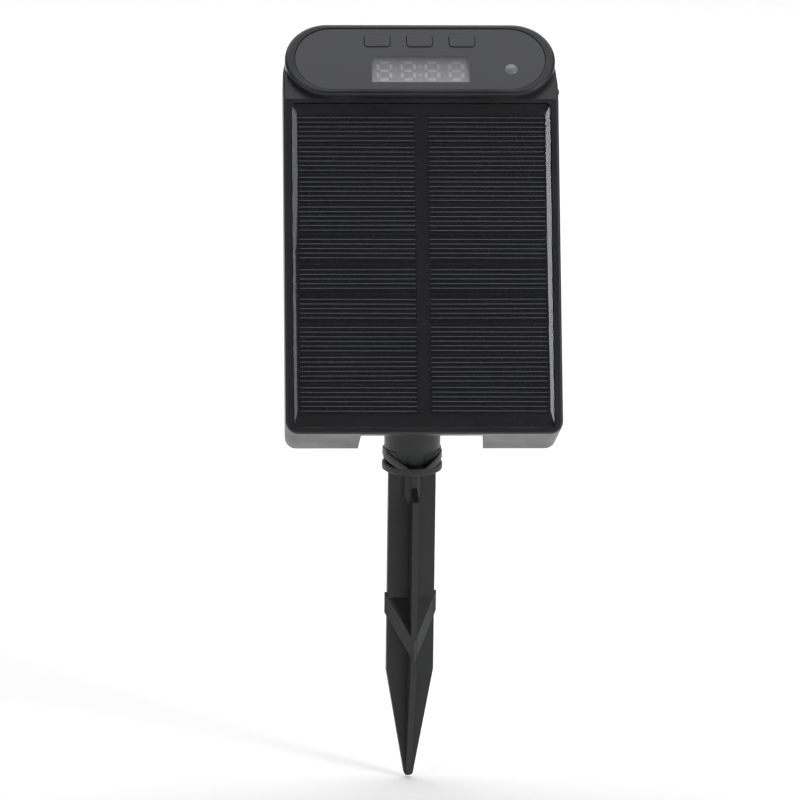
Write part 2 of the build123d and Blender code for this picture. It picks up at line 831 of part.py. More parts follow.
def transformer_winding():
    """The winding round the core's middle leg."""
    start = board_back + 0.2
    depth = core_depth + 2 * winding_overhang
    leg = leg_width
    outer = leg + 2 * core_window_width - 0.4
    height = core_window_height - 0.4
    coil = block((core_across - outer / 2, core_across + outer / 2), (start, start + depth),
                 (core_up - height / 2, core_up + height / 2))
    coil = fillet(coil.edges().filter_by(Axis.Z), 1.4)
    slot = block((core_across - leg / 2 - 0.1, core_across + leg / 2 + 0.1),
                 (start + winding_overhang - 0.1, start + depth - winding_overhang + 0.1),
                 (core_up - height, core_up + height))
    return coil - slot


def board_capacitors():
    """The round capacitors on the main board."""
    cans = []
    for x, diameter, length in ((18.0, 8.0, 12.0), (28.0, 10.0, 14.0)):
        can = rod(diameter, x, main_board_bottom + 9, board_back, board_back + length)
        cans.append(fillet(can.edges().filter_by(GeomType.CIRCLE), 0.7))
    return group(cans)


def board_parts():
    """The controller chip, the driver, the thyristor with its cooling tab and the small parts."""
    base = board_back
    low = main_board_bottom
    sizes = [(12.0, 26.0, 9.0, 7.0, 1.6), (-35.0, 12.0, 5.0, 4.0, 1.5), (24.0, 26.0, 6.0, 5.0, 1.6),
             (-36.0, 22.0, 6.4, 3.2, 2.4), (-36.0, 29.0, 6.4, 3.2, 2.4), (14.0, 36.0, 10.0, 4.6, 14.0),
             (38.0, 26.0, 5.0, 8.0, 6.0), (-2.0, 5.0, 6.0, 3.0, 1.2), (8.0, 18.5, 3.2, 1.6, 0.8),
             (14.0, 18.5, 3.2, 1.6, 0.8)]
    parts = [block((x - w / 2, x + w / 2), (base, base + d), (low + z - h / 2, low + z + h / 2))
             for x, z, w, h, d in sizes]
    return group(parts)


def terminal_stud(side):
    """One threaded terminal, with a flange inside the back wall and a groove past the nut."""
    x = side * terminal_x
    z = terminal_height
    stud = rod(stud_diameter, x, z, stud_inner_end, stud_end)
    stud = chamfer(stud.edges().filter_by(GeomType.CIRCLE).sort_by(Axis.Y)[-1], 0.6)
    inner = case_depth - case_wall
    stud += rod(stud_flange_diameter, x, z, inner - stud_flange_thickness, inner)
    groove = rod(stud_diameter + 1, x, z, free_end_start - stud_groove, free_end_start)
    groove -= rod(stud_diameter - 2 * stud_groove_depth, x, z, 0, stud_end)
    return stud - groove


def terminal_washers():
    """The two plain washers under the terminal nuts."""
    washers = []
    for side in (-1, 1):
        x = side * terminal_x
        washer = rod(terminal_washer_diameter, x, terminal_height, case_depth,
                     case_depth + terminal_washer_thickness)
        washer -= rod(stud_diameter + 0.4, x, terminal_height, case_depth - 1, case_depth + 3)
        washers.append(washer)
    return group(washers)


def terminal_nut(side):
    """One round hand nut with grips round its side."""
    x = side * terminal_x
    z = terminal_height
    start = case_depth + terminal_washer_thickness + turn_gap
    nut = rod(nut_diameter, x, z, start, start + nut_length)
    nut = chamfer(nut.edges().filter_by(GeomType.CIRCLE), 0.7)
    for index in range(nut_grips):
        angle = 2 * pi * index / nut_grips
        across = x + nut_diameter / 2 * cos(angle)
        up = z + nut_diameter / 2 * sin(angle)
        nut -= rod(nut_grip_radius, across, up, start - 1, start + nut_length + 1)
    nut -= rod(stud_diameter + 2 * thread_clearance, x, z, start - 1, start + nut_length + 1)
    return nut


def lead(points):
    """A short insulated lead through a few points, with round bends."""
    path = FilletPolyline(*points, radius=lead_bend)
    section = Plane(origin=path @ 0, z_dir=path % 0) * Circle(lead_diameter / 2)
    return sweep(section, path=path)


def pulse_leads():
    """The two leads from the transformer to the terminals."""
    level = stud_inner_end - 2 * lead_bend
    leads = []
    for side in (-1, 1):
        x = core_across + side * (core_width / 2 + lead_diameter)
        stud_x = side * terminal_x
        leads.append(lead([(x, board_back, core_up), (x, level, core_up), (stud_x, level, terminal_height),
                           (stud_x, stud_inner_end, terminal_height)]))
    return group(leads)


def battery_leads():
    """The two leads from the cell's tray to the main board."""
    tray_top = cradle_bottom + cradle_length
    level = battery_depth + 5
    leads = []
    for x, end_x in ((-46.0, -40.0), (-40.0, -30.0)):
        height = main_board_bottom + 12
        leads.append(lead([(x, level - 6, tray_top), (x, level - 6, tray_top + 5), (end_x, level, height),
                           (end_x, board_back, height)]))
    return group(leads)


def panel_leads():
    """The two short leads from the panel's board to the main board."""
    height = panel_lead_height
    return group([rod(1.2, x, height, panel_recess, front_depth + main_board_stand)
                              for x in (-2.5, 2.5)])


def power_switch():
    """The body of the slide switch behind the side wall."""
    wall_x = case_width / 2 - case_wall - tan(radians(case_draft)) * (switch_depth + 6 - front_depth)
    x_range = (wall_x - 0.2 - switch_body[0], wall_x - 0.2)
    middle = switch_height + switch_travel / 2
    body = block(x_range, (switch_depth - switch_body[1] / 2, switch_depth + switch_body[1] / 2),
                 (middle - switch_body[2] / 2, middle + switch_body[2] / 2))
    half = switch_nub / 2 + slide_gap
    body -= block((x_range[1] - 2.2, x_range[1] + 1), (switch_depth - half, switch_depth + half),
                  (switch_height - half, switch_height + half + switch_travel))
    return body


def power_slider():
    """The nub of the slide switch, which stands out through the slot."""
    wall_x = case_width / 2 - case_wall - tan(radians(case_draft)) * (switch_depth + 6 - front_depth)
    start = wall_x - 0.2 - 2.2 + slide_gap
    end = case_width / 2 - tan(radians(case_draft)) * (switch_depth - front_depth) + switch_nub_reach
    half = switch_nub / 2
    nub = block((start, end), (switch_depth - half, switch_depth + half),
                (switch_height - half, switch_height + half))
    outer = nub.faces().sort_by(Axis.X)[-1]
    return fillet(outer.edges(), half * 0.55)


def pivot_bolt():
    """The hinge bolt, with its hexagon head outside the left-hand ear."""
    shank = cross_rod(bolt_diameter, -ear_outer, ear_outer + washer_thickness + knob_bore)
    hexagon = RegularPolygon(bolt_head_across / 2, 6, major_radius=False)
    place = Plane(origin=(-ear_outer, pivot_depth, pivot_height), x_dir=(0, 1, 0), z_dir=(-1, 0, 0))
    head = extrude(place * hexagon, bolt_head_height)
    return at_hinge(shank + head)


def hinge_washers():
    """The friction washers beside the knuckle and the washer under the knob."""
    starts = (-ear_inner, knuckle_width / 2 + ear_gap, ear_outer)
    washers = []
    for start in starts:
        washer = cross_rod(washer_diameter, start, start + washer_thickness)
        washers.append(washer - cross_rod(bolt_bore, -case_width, case_width))
    return at_hinge(group(washers))


def tilt_knob():
    """The lobed hand knob that clamps the hinge."""
    start = knob_start
    outline = Circle(knob_diameter / 2 - knob_lobe_radius / 2)
    for index in range(knob_lobes):
        angle = 360 * index / knob_lobes
        outline += Rot(0, 0, angle) * Pos(knob_diameter / 2 - knob_lobe_radius, 0) * Circle(knob_lobe_radius)
    outline = fillet(outline.vertices(), knob_lobe_radius / 2)
    plane = Plane(origin=(start, pivot_depth, pivot_height), x_dir=(0, 1, 0), z_dir=(1, 0, 0))
    knob = extrude(plane * outline, knob_length)
    knob = chamfer(knob.faces().sort_by(Axis.X)[-1].edges(), 0.6)
    return at_hinge(knob - cross_rod(bolt_bore, 0, start + knob_bore))


def socket_tube():
    """The tube over the stake's spigot, with the flat-sided knuckle of the hinge on top."""
    shoulder = pivot_ground - neck_length
    tube = Pos(0, 0, (crown_height + shoulder) / 2) * Cylinder(tube_diameter / 2, shoulder - crown_height)
    half = knuckle_width / 2
    eye = Pos(0, 0, pivot_ground) * Rot(0, 90, 0) * Cylinder(knuckle_radius, knuckle_width)
    neck = block((-half, half), (-knuckle_radius, knuckle_radius), (shoulder - 1, pivot_ground))
    rounder = Pos(0, 0, pivot_ground) * Cylinder(tube_diameter / 2, 4 * neck_length)
    tube = fillet(tube.edges().sort_by(Axis.Z)[-1], 1.5)
    tube += (eye + neck) & rounder
    bore_depth = spigot_length + 2
    bore = Pos(0, 0, crown_height + bore_depth / 2 - 0.5) * Cylinder(tube_bore / 2, bore_depth + 1)
    tube -= bore
    hole = Pos(0, 0, pivot_ground) * Rot(0, 90, 0) * Cylinder(bush_diameter / 2, 2 * knuckle_width)
    return tube - hole


def pivot_bush():
    """The plain bush in the knuckle that the bolt passes through."""
    outer = bush_diameter / 2
    bush = Cylinder(outer, knuckle_width) - Cylinder(bolt_diameter / 2 + bolt_clearance, knuckle_width)
    return Pos(0, 0, pivot_ground) * Rot(0, 90, 0) * bush


def ground_stake():
    """The moulded stake: spigot, V-shaped crown, hoop flange, cross-section blade, barbs and point."""
    stake = Cylinder(flange_diameter / 2, flange_thickness) - Cylinder(
        flange_diameter / 2 - flange_wall, flange_thickness)
    stake = Pos(0, 0, flange_thickness / 2) * fillet(stake.edges().filter_by(GeomType.CIRCLE), 0.8)
    stake += Pos(0, 0, pocket_floor / 2 + 0.2) * Cylinder(flange_diameter / 2 - flange_wall + 0.5, pocket_floor)
    spigot_radius = tube_bore / 2 - spigot_clearance
    spigot = Pos(0, 0, (crown_height + spigot_length) / 2 + 0.3) * Cylinder(
        spigot_radius, crown_height + spigot_length - 0.6)
    spigot = chamfer(spigot.edges().sort_by(Axis.Z)[-1], 1.2)
    stake += stake_crown()
    stake += spigot
    stake += stake_blade()
    return Rot(0, 0, stake_turn) * stake


def stake_crown():
    """The two slanting bars over the flange that the tube stands on, in front and behind the spigot."""
    outer = flange_diameter / 2 - bar_step
    top = crown_height - turn_gap
    rise = bar_foot_rise / (outer - notch_floor_half)
    side = outer + 1
    foot = rise * (side - notch_floor_half)
    bars = Polygon((-notch_floor_half, 0.3), (notch_floor_half, 0.3), (side, foot + 0.3), (side, top),
                   (-side, top), (-side, foot + 0.3), align=None)
    crown = extrude(Plane.XZ * bars, 2 * outer, both=True)
    crown &= Pos(0, 0, top / 2) * Cylinder(outer, top)
    spread = (outer - 0.9 - notch_floor_half) / (top - notch_floor)
    over = top + 2
    half = notch_floor_half + spread * (over - notch_floor)
    start = tube_bore / 2 - 1
    for face in (Plane(origin=(0, -start, 0), x_dir=(1, 0, 0), z_dir=(0, -1, 0)),
                 Plane(origin=(0, start, 0), x_dir=(-1, 0, 0), z_dir=(0, 1, 0))):
        notch = Polygon((-notch_floor_half, notch_floor), (notch_floor_half, notch_floor),
                        (half, over), (-half, over), align=None)
        crown -= extrude(face * notch, outer - start + 1, taper=-notch_flare)
    return crown


def blade_profile(half):
    """One pair of opposite wings, seen flat: straight sides, a long point and a rounded tip."""
    bottom = -stake_length
    point = bottom + point_length
    outline = Polygon((-half, 0.5), (half, 0.5), (half, point), (tip_half, bottom),
                      (-tip_half, bottom), (-half, point), align=None)
    return fillet(outline.vertices().sort_by(Axis.Y)[:2], tip_half * 0.9)


def stake_blade():
    """The four-winged blade with its collar and barbs."""
    side_wings = extrude(Plane.XZ * blade_profile(wing_half), rib_thickness / 2, both=True)
    front_wings = extrude(Plane.YZ * blade_profile(wing_half), rib_thickness / 2, both=True)
    ramp_end = -front_rib_start - front_rib_ramp
    upper_reach = wing_half - front_rib_step
    for side in (-1, 1):
        ramp = Polygon((side * upper_reach, 1), (side * 2 * wing_half, 1), (side * 2 * wing_half, ramp_end),
                       (side * wing_half, ramp_end), (side * upper_reach, -front_rib_start), align=None)
        front_wings -= extrude(Plane.YZ * ramp, rib_thickness, both=True)
    blade = side_wings + front_wings
    blade += Pos(0, 0, -collar_length / 2 + 0.5) * Cylinder(collar_radius, collar_length + 1)
    blade += Pos(0, 0, -collar_length - collar_end / 2) * Cone(rib_thickness / 2, collar_radius, collar_end)
    for side in (-1, 1):
        blade += barb(side)
    return blade


def barb(side):
    """A slanting plate across the front or back pair of quadrants."""
    reach = wing_half + barb_proud
    top = -barb_top
    profile = Polygon((0, top), (side * reach, top - barb_drop), (side * reach, top - barb_drop - barb_height),
                      (0, top - barb_height), align=None)
    plate = extrude(Plane.YZ * profile, 2 * wing_half, both=True)
    diamond = Rot(0, 0, 45) * Rectangle(reach * 2 ** 0.5, reach * 2 ** 0.5)
    column = extrude(Plane.XY.offset(-stake_length) * diamond, stake_length)
    return plate & column


def write_parts():
    """Builds every piece and writes one file for each."""
    case_parts = {
        "front_shell": front_shell(),
        "rear_shell": rear_shell(),
        "case_gasket": case_gasket(),
        "solar_backing": solar_backing(),
        "solar_cells": solar_cells(),
        "solar_cover": solar_cover(),
        "control_face": control_face(),
        "display_window": display_window(),
        "display_module": display_module(),
        "display_segments": display_segments(),
        "status_lens": status_lens(),
        "status_led": status_led(),
        "control_board": control_board(),
        "tact_switches": tact_switches(),
        "main_board": main_board(),
        "board_screws": board_screws(),
        "case_screws": case_screws(),
        "battery_cradle": battery_cradle(),
        "battery_cell": battery_cell(),
        "battery_contacts": battery_contacts(),
        "storage_capacitor": storage_capacitor(),
        "transformer_core": transformer_core(),
        "transformer_winding": transformer_winding(),
        "board_capacitors": board_capacitors(),
        "board_parts": board_parts(),
        "pulse_leads": pulse_leads(),
        "battery_leads": battery_leads(),
        "panel_leads": panel_leads(),
        "fence_stud": terminal_stud(1),
        "earth_stud": terminal_stud(-1),
        "terminal_washers": terminal_washers(),
        "fence_nut": terminal_nut(1),
        "earth_nut": terminal_nut(-1),
        "power_switch": power_switch(),
        "power_slider": power_slider(),
        "pivot_bolt": pivot_bolt(),
        "hinge_washers": hinge_washers(),
        "tilt_knob": tilt_knob(),
    }
    for index, (x, y) in enumerate(key_places(), start=1):
        case_parts[f"key_{index}"] = key(x, y)
    placed = {name: in_place(shape) for name, shape in case_parts.items()}
    placed["socket_tube"] = socket_tube()
    placed["pivot_bush"] = pivot_bush()
    placed["ground_stake"] = ground_stake()
    os.makedirs("parts", exist_ok=True)
    for name, shape in placed.items():
        export_step(shape, f"parts/{name}.step")
        print(name, round(shape.volume, 1), len(shape.solids()))


write_parts()
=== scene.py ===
"""The looks of a solar fence energizer: its finishes, the pieces modelled for them, and the studio."""

import logging
import math
from dataclasses import dataclass
from enum import Enum

import bmesh
import bpy
from mathutils import Matrix, Vector


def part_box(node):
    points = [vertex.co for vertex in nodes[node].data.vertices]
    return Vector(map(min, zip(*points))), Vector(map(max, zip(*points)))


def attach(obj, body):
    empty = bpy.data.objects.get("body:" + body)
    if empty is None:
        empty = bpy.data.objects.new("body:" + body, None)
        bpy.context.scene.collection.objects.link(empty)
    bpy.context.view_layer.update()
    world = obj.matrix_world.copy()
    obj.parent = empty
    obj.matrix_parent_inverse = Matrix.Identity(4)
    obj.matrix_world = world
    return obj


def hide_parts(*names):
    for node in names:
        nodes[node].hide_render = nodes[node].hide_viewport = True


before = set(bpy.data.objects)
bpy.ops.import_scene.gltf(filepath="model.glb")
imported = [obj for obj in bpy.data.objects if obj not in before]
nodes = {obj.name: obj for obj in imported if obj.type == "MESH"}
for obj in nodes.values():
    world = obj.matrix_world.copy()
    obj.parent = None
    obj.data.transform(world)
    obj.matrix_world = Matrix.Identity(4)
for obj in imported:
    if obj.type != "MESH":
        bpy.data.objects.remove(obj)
log = logging.getLogger("energizer")

MM = 0.001
NEAR = 1e-6  # closer than this, in metres, two places are the same
MERGE = 1e-7
CASE_TILT = math.radians(27.0)
HEAD_SLOPE = math.radians(22.0)
HINGE_ACROSS = -2.3
PIVOT_DEPTH = 25.0
PIVOT_HEIGHT = 75.0
PIVOT_GROUND = 87.0
SLOPE_START = 144.0
HEAD_UP_SLOPE = 18.8


class Body(Enum):
    """The moving bodies that a piece can ride on."""

    STAKE = "stake"
    SOCKET = "socket"
    CASE = "case"
    KNOB = "knob"
    LEFT_KEY = "left_key"
    MIDDLE_KEY = "middle_key"
    RIGHT_KEY = "right_key"
    SLIDER = "slider"
    FENCE_NUT = "fence_nut"
    EARTH_NUT = "earth_nut"


def case_place() -> Matrix:
    """Gives the tilted case's place.

    Returns:
        The matrix from the upright case's frame, in metres, to the shared frame.
    """
    over_stake = Matrix.Translation((-HINGE_ACROSS * MM, 0, PIVOT_GROUND * MM))
    from_pivot = Matrix.Translation((0, -PIVOT_DEPTH * MM, -PIVOT_HEIGHT * MM))
    return over_stake @ Matrix.Rotation(-CASE_TILT, 4, "X") @ from_pivot


# ---------------------------------------------------------------- finishes


class Graph:
    """The node graph of one finish, with short calls for the nodes it needs."""

    def __init__(self, name: str) -> None:
        """Starts a material.

        Args:
            name: The material's name.
        """
        self.material = bpy.data.materials.new(name)
        self.material.use_nodes = True
        self.tree = self.material.node_tree
        self.shader = self.tree.nodes["Principled BSDF"]
        self.output = self.tree.nodes["Material Output"]
        self.place = self.tree.nodes.new("ShaderNodeTexCoord").outputs["Object"]

    def add(self, kind: str, links: dict, **values: object) -> bpy.types.Node:
        """Adds a node.

        Args:
            kind: The node's type, without its ShaderNode prefix.
            links: Input name or number to the socket or plain value that feeds it.
            values: Properties of the node.

        Returns:
            The new node.
        """
        node = self.tree.nodes.new("ShaderNode" + kind)
        for name, value in values.items():
            setattr(node, name, value)
        for key, source in links.items():
            if isinstance(source, bpy.types.NodeSocket):
                self.tree.links.new(source, node.inputs[key])
            else:
                node.inputs[key].default_value = source
        return node

    def stretched(self, stretch: tuple) -> bpy.types.NodeSocket:
        """Gives the object's coordinates, scaled on each axis."""
        return self.add("Mapping", {"Vector": self.place, "Scale": stretch}).outputs[0]

    def noise(self, size_mm: float, detail: float = 3.0,
              stretch: tuple = (1, 1, 1)) -> bpy.types.NodeSocket:
        """Gives cloudy noise.

        Args:
            size_mm: The size of its patches.
            detail: How many finer octaves it has.
            stretch: How much finer it is along each axis.

        Returns:
            The noise's value from 0 to 1.
        """
        links = {"Vector": self.stretched(stretch), "Scale": 1 / (size_mm * MM), "Detail": detail}
        return self.add("TexNoise", links).outputs["Fac"]

    def spots(self, size_mm: float) -> bpy.types.NodeSocket:
        """Gives the distance to the nearest of scattered points, as for pits or granules."""
        links = {"Vector": self.place, "Scale": 1 / (size_mm * MM)}
        return self.add("TexVoronoi", links).outputs["Distance"]

    def between(self, source: bpy.types.NodeSocket, low: float, high: float, start: float = 0.0,
                stop: float = 1.0) -> bpy.types.NodeSocket:
        """Maps part of a value's range to another range.

        Args:
            source: The value.
            low: The result at the start of the part.
            high: The result at its end.
            start: Where the part starts.
            stop: Where it ends.

        Returns:
            The mapped value.
        """
        links = {0: source, 1: start, 2: stop, 3: low, 4: high}
        return self.add("MapRange", links).outputs[0]

    def maths(self, operation: str, first: object, second: object = 0.0) -> bpy.types.NodeSocket:
        """Gives the result of one sum on two values."""
        return self.add("Math", {0: first, 1: second}, operation=operation).outputs[0]

    def blend(self, share: object, first: object, second: object) -> bpy.types.NodeSocket:
        """Blends two colours.

        Args:
            share: How much of the second there is.
            first: A colour or its socket.
            second: A colour or its socket.

        Returns:
            The blended colour.
        """
        node = self.add("Mix", {}, data_type="RGBA")
        for index, source in ((0, share), (6, first), (7, second)):
            if isinstance(source, bpy.types.NodeSocket):
                self.tree.links.new(source, node.inputs[index])
            elif index:
                node.inputs[index].default_value = (*source, 1.0)
            else:
                node.inputs[index].default_value = source
        return node.outputs[2]

    def relief(self, height: bpy.types.NodeSocket, depth_mm: float,
               before: object = None) -> bpy.types.NodeSocket:
        """Turns a height into a relief of the surface.

        Args:
            height: The height from 0 to 1.
            depth_mm: What a height of 1 stands for.
            before: A relief that this one lies on, or None.

        Returns:
            The surface's direction.
        """
        links = {"Height": height, "Strength": 1.0, "Distance": depth_mm * MM}
        if before is not None:
            links["Normal"] = before
        return self.add("Bump", links).outputs[0]

    def pass_light(self, colour: tuple) -> None:
        """Lets light through to what lies behind the surface, as a clear shadow.

        Args:
            colour: The share of the light that passes, in red, green and blue.
        """
        path = self.tree.nodes.new("ShaderNodeLightPath")
        through = self.add("BsdfTransparent", {"Color": (*colour, 1.0)})
        links = {0: path.outputs["Is Shadow Ray"], 1: self.shader.outputs[0], 2: through.outputs[0]}
        mixed = self.add("MixShader", links)
        self.tree.links.new(mixed.outputs[0], self.output.inputs["Surface"])

    def feed(self, name: str, source: object) -> None:
        """Feeds an input of the surface's shader.

        Args:
            name: The input's name.
            source: A socket, a colour or a number.
        """
        if isinstance(source, bpy.types.NodeSocket):
            self.tree.links.new(source, self.shader.inputs[name])
        elif isinstance(source, tuple):
            self.shader.inputs[name].default_value = (*source, 1.0)
        else:
            self.shader.inputs[name].default_value = source


@dataclass(frozen=True)
class Moulded:
    """Moulded plastic or rubber: a fine eroded grain, faint flow marks and handling wear."""

    name: str
    colour: tuple
    worn: tuple
    gloss: tuple = (0.38, 0.52)  # roughness, from the smoothest patch to the dullest
    grain_mm: float = 0.35
    grain_depth_mm: float = 0.012
    patch_mm: float = 18.0
    shine: float = 0.5
    wear_start: float = 0.56  # of the wear noise, where rubbing begins to show
    wear_full: float = 0.74
    wear_share: float = 0.55
    grain_roughness: float = 0.03

    def make(self) -> bpy.types.Material:
        """Builds the material.

        Returns:
            The material.
        """
        g = Graph(self.name)
        flow = g.noise(self.patch_mm, 4.0)
        fine = g.noise(self.grain_mm, 2.0)
        wear = g.noise(self.patch_mm / 5, 5.0, (1, 1, 3))
        rubbed = g.between(wear, 0.0, 1.0, self.wear_start, self.wear_full)
        rubbed = g.maths("MULTIPLY", rubbed, self.wear_share)
        g.feed("Base Color", g.blend(rubbed, g.blend(flow, self.colour, self.worn), self.worn))
        spread = g.between(flow, *self.gloss, 0.3, 0.7)
        speckle = g.between(fine, -self.grain_roughness, self.grain_roughness)
        g.feed("Roughness", g.maths("ADD", spread, speckle))
        pits = g.relief(g.spots(self.grain_mm * 1.4), self.grain_depth_mm * 0.6)
        g.feed("Normal", g.relief(fine, self.grain_depth_mm, pits))
        g.feed("Specular IOR Level", self.shine)
        return g.material


@dataclass(frozen=True)
class Plated:
    """Metal with a drawn or turned finish, dulled in patches."""

    name: str
    colour: tuple
    dull: tuple
    gloss: tuple = (0.22, 0.42)
    stretch: tuple = (1, 1, 1)
    line_mm: float = 0.25
    patch_mm: float = 3.0
    line_roughness: float = 0.05
    line_depth_mm: float = 0.006

    def make(self) -> bpy.types.Material:
        """Builds the material.

        Returns:
            The material.
        """
        g = Graph(self.name)
        lines = g.noise(self.line_mm, 3.0, self.stretch)
        bloom = g.noise(self.patch_mm, 4.0)
        g.feed("Base Color", g.blend(g.between(bloom, 0.0, 1.0, 0.35, 0.75), self.colour, self.dull))
        spread = g.between(bloom, *self.gloss, 0.3, 0.7)
        drawn = g.between(lines, -self.line_roughness, self.line_roughness)
        g.feed("Roughness", g.maths("ADD", spread, drawn))
        g.feed("Metallic", 1.0)
        g.feed("Normal", g.relief(lines, self.line_depth_mm))
        return g.material


@dataclass(frozen=True)
class Clear:
    """Clear cast plastic that lets light through to what lies behind it."""

    name: str
    tint: tuple
    roughness: float
    ripple_mm: float = 14.0
    ripple_depth_mm: float = 0.02
    dust_mm: float = 0.9
    dust_roughness: float = 0.05
    thick_share: float = 0.96  # of the tint, where the cast is thickest
    bending: float = 1.5

    def make(self) -> bpy.types.Material:
        """Builds the material.

        Returns:
            The material.
        """
        g = Graph(self.name)
        ripple = g.noise(self.ripple_mm, 1.0)
        dust = g.between(g.noise(self.dust_mm, 4.0), 0.0, self.dust_roughness, 0.5, 0.8)
        thick = tuple(self.thick_share * part for part in self.tint)
        g.feed("Base Color", g.blend(g.between(ripple, 0.0, 1.0, 0.3, 0.7), self.tint, thick))
        g.feed("Roughness", g.maths("ADD", dust, self.roughness))
        g.feed("Transmission Weight", 1.0)
        g.feed("IOR", self.bending)
        g.feed("Normal", g.relief(ripple, self.ripple_depth_mm))
        g.pass_light((1.0, 1.0, 1.0))
        return g.material


@dataclass(frozen=True)
class Hazy:
    """Frosted plastic that passes part of the light and scatters the rest, with painted shade: its colour
    is darker at the top and lighter lower down.
    """

    name: str
    shaded_upper: tuple
    lower: tuple
    heights: tuple
    clarity: float
    roughness: float
    cloud_mm: float = 5.0
    cloud_roughness: float = 0.06
    ripple_mm: float = 8.0
    ripple_depth_mm: float = 0.002
    bending: float = 1.45

    def make(self) -> bpy.types.Material:
        """Builds the material.

        Returns:
            The material.
        """
        g = Graph(self.name)
        apart = g.add("SeparateXYZ", {0: g.place})
        # painted shade: by height, the colour runs from the darker upper tint at the top to the lower tint
        # below, standing in for the bezel's shadow
        share = g.between(apart.outputs[2], 1.0, 0.0, *self.heights)
        cloud = g.between(g.noise(self.cloud_mm, 2.0), 0.0, self.cloud_roughness, 0.3, 0.7)
        g.feed("Base Color", g.blend(share, self.shaded_upper, self.lower))
        g.feed("Roughness", g.maths("ADD", cloud, self.roughness))
        g.feed("Transmission Weight", self.clarity)
        g.feed("IOR", self.bending)
        g.feed("Normal", g.relief(g.noise(self.ripple_mm, 1.0), self.ripple_depth_mm))
        g.pass_light((self.clarity, self.clarity, self.clarity))
        return g.material


@dataclass(frozen=True)
class Silicon:
    """Dark cell glass with a faint crystal mottle and a blue cast."""

    name: str = "cell_silicon"
    colour: tuple = (0.0035, 0.0035, 0.005)
    cast: tuple = (0.005, 0.0055, 0.009)
    crystal_mm: float = 2.4
    cloud_mm: float = 22.0
    gloss: tuple = (0.24, 0.27)
    shine: float = 0.25
    ripple_mm: float = 5.0
    ripple_depth_mm: float = 0.002

    def make(self) -> bpy.types.Material:
        """Builds the material.

        Returns:
            The material.
        """
        g = Graph(self.name)
        crystals = g.spots(self.crystal_mm)
        share = g.maths("MULTIPLY", g.between(crystals, 0.2, 1.0, 0.1, 0.8), g.noise(self.cloud_mm, 3.0))
        g.feed("Base Color", g.blend(share, self.colour, self.cast))
        g.feed("Roughness", g.between(crystals, *self.gloss))
        g.feed("Specular IOR Level", self.shine)
        g.feed("Normal", g.relief(g.noise(self.ripple_mm, 2.0), self.ripple_depth_mm))
        return g.material


@dataclass(frozen=True)
class Laminate:
    """A circuit board: solder mask over copper tracks that run square to each other."""

    name: str = "board_laminate"
    mask: tuple = (0.010, 0.085, 0.035)
    track: tuple = (0.022, 0.16, 0.065)
    track_mm: float = 1.6
    track_depth_mm: float = 0.035
    gloss: tuple = (0.25, 0.4)
    lacquer: float = 0.4

    def make(self) -> bpy.types.Material:
        """Builds the material.

        Returns:
            The material.
        """
        g = Graph(self.name)
        links = {"Vector": g.stretched((1, 1, 2.2)), "Scale": 1 / (self.track_mm * MM)}
        cells = g.add("TexVoronoi", links, distance="MANHATTAN")
        lines = g.between(cells.outputs["Distance"], 0.0, 1.0, 0.52, 0.6)
        g.feed("Base Color", g.blend(lines, self.mask, self.track))
        g.feed("Roughness", g.between(g.noise(6.0), *self.gloss))
        g.feed("Normal", g.relief(lines, self.track_depth_mm))
        g.feed("Coat Weight", self.lacquer)
        return g.material


@dataclass(frozen=True)
class Paper:
    """The matt white paper of the floor, which glows faintly so that it stays even."""

    name: str = "paper_white"
    colour: tuple = (0.93, 0.93, 0.93)
    paler: tuple = (0.95, 0.95, 0.95)
    patch_mm: float = 400.0
    roughness: float = 0.9
    glow: float = 0.2

    def make(self) -> bpy.types.Material:
        """Builds the material.

        Returns:
            The material.
        """
        g = Graph(self.name)
        g.feed("Base Color", g.blend(g.noise(self.patch_mm), self.colour, self.paler))
        g.feed("Roughness", self.roughness)
        g.feed("Emission Color", (1.0, 1.0, 1.0))
        g.feed("Emission Strength", self.glow)
        return g.material


@dataclass(frozen=True)
class Wound:
    """Tape or sleeve wound round a part, with an overlap line at each turn."""

    name: str
    colour: tuple
    edge: tuple
    turn_mm: float = 4.0
    gloss: tuple = (0.25, 0.4)
    lap_depth_mm: float = 0.05

    def make(self) -> bpy.types.Material:
        """Builds the material.

        Returns:
            The material.
        """
        g = Graph(self.name)
        apart = g.add("SeparateXYZ", {0: g.place})
        turn = g.maths("FRACT", g.maths("DIVIDE", apart.outputs[0], self.turn_mm * MM))
        lap = g.between(turn, 0.0, 1.0, 0.9, 1.0)
        g.feed("Base Color", g.blend(lap, self.colour, self.edge))
        g.feed("Roughness", g.between(g.noise(2.0), *self.gloss))
        g.feed("Normal", g.relief(lap, self.lap_depth_mm))
        return g.material


WINDOW_HEIGHTS = tuple(corner.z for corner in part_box("display_window"))
CASE_BLACK = Moulded("case_black", (0.018, 0.018, 0.020), (0.024, 0.024, 0.027), (0.34, 0.44), 0.5,
                     0.006, shine=0.36)
FRONT_BLACK = Moulded("front_black", (0.017, 0.017, 0.019), (0.023, 0.023, 0.026), (0.30, 0.40),
                      0.5, 0.004, shine=0.42)
STAKE_BLACK = Moulded("stake_black", (0.014, 0.0145, 0.016), (0.022, 0.0225, 0.025), (0.42, 0.56),
                      0.4, 0.012, 14.0)
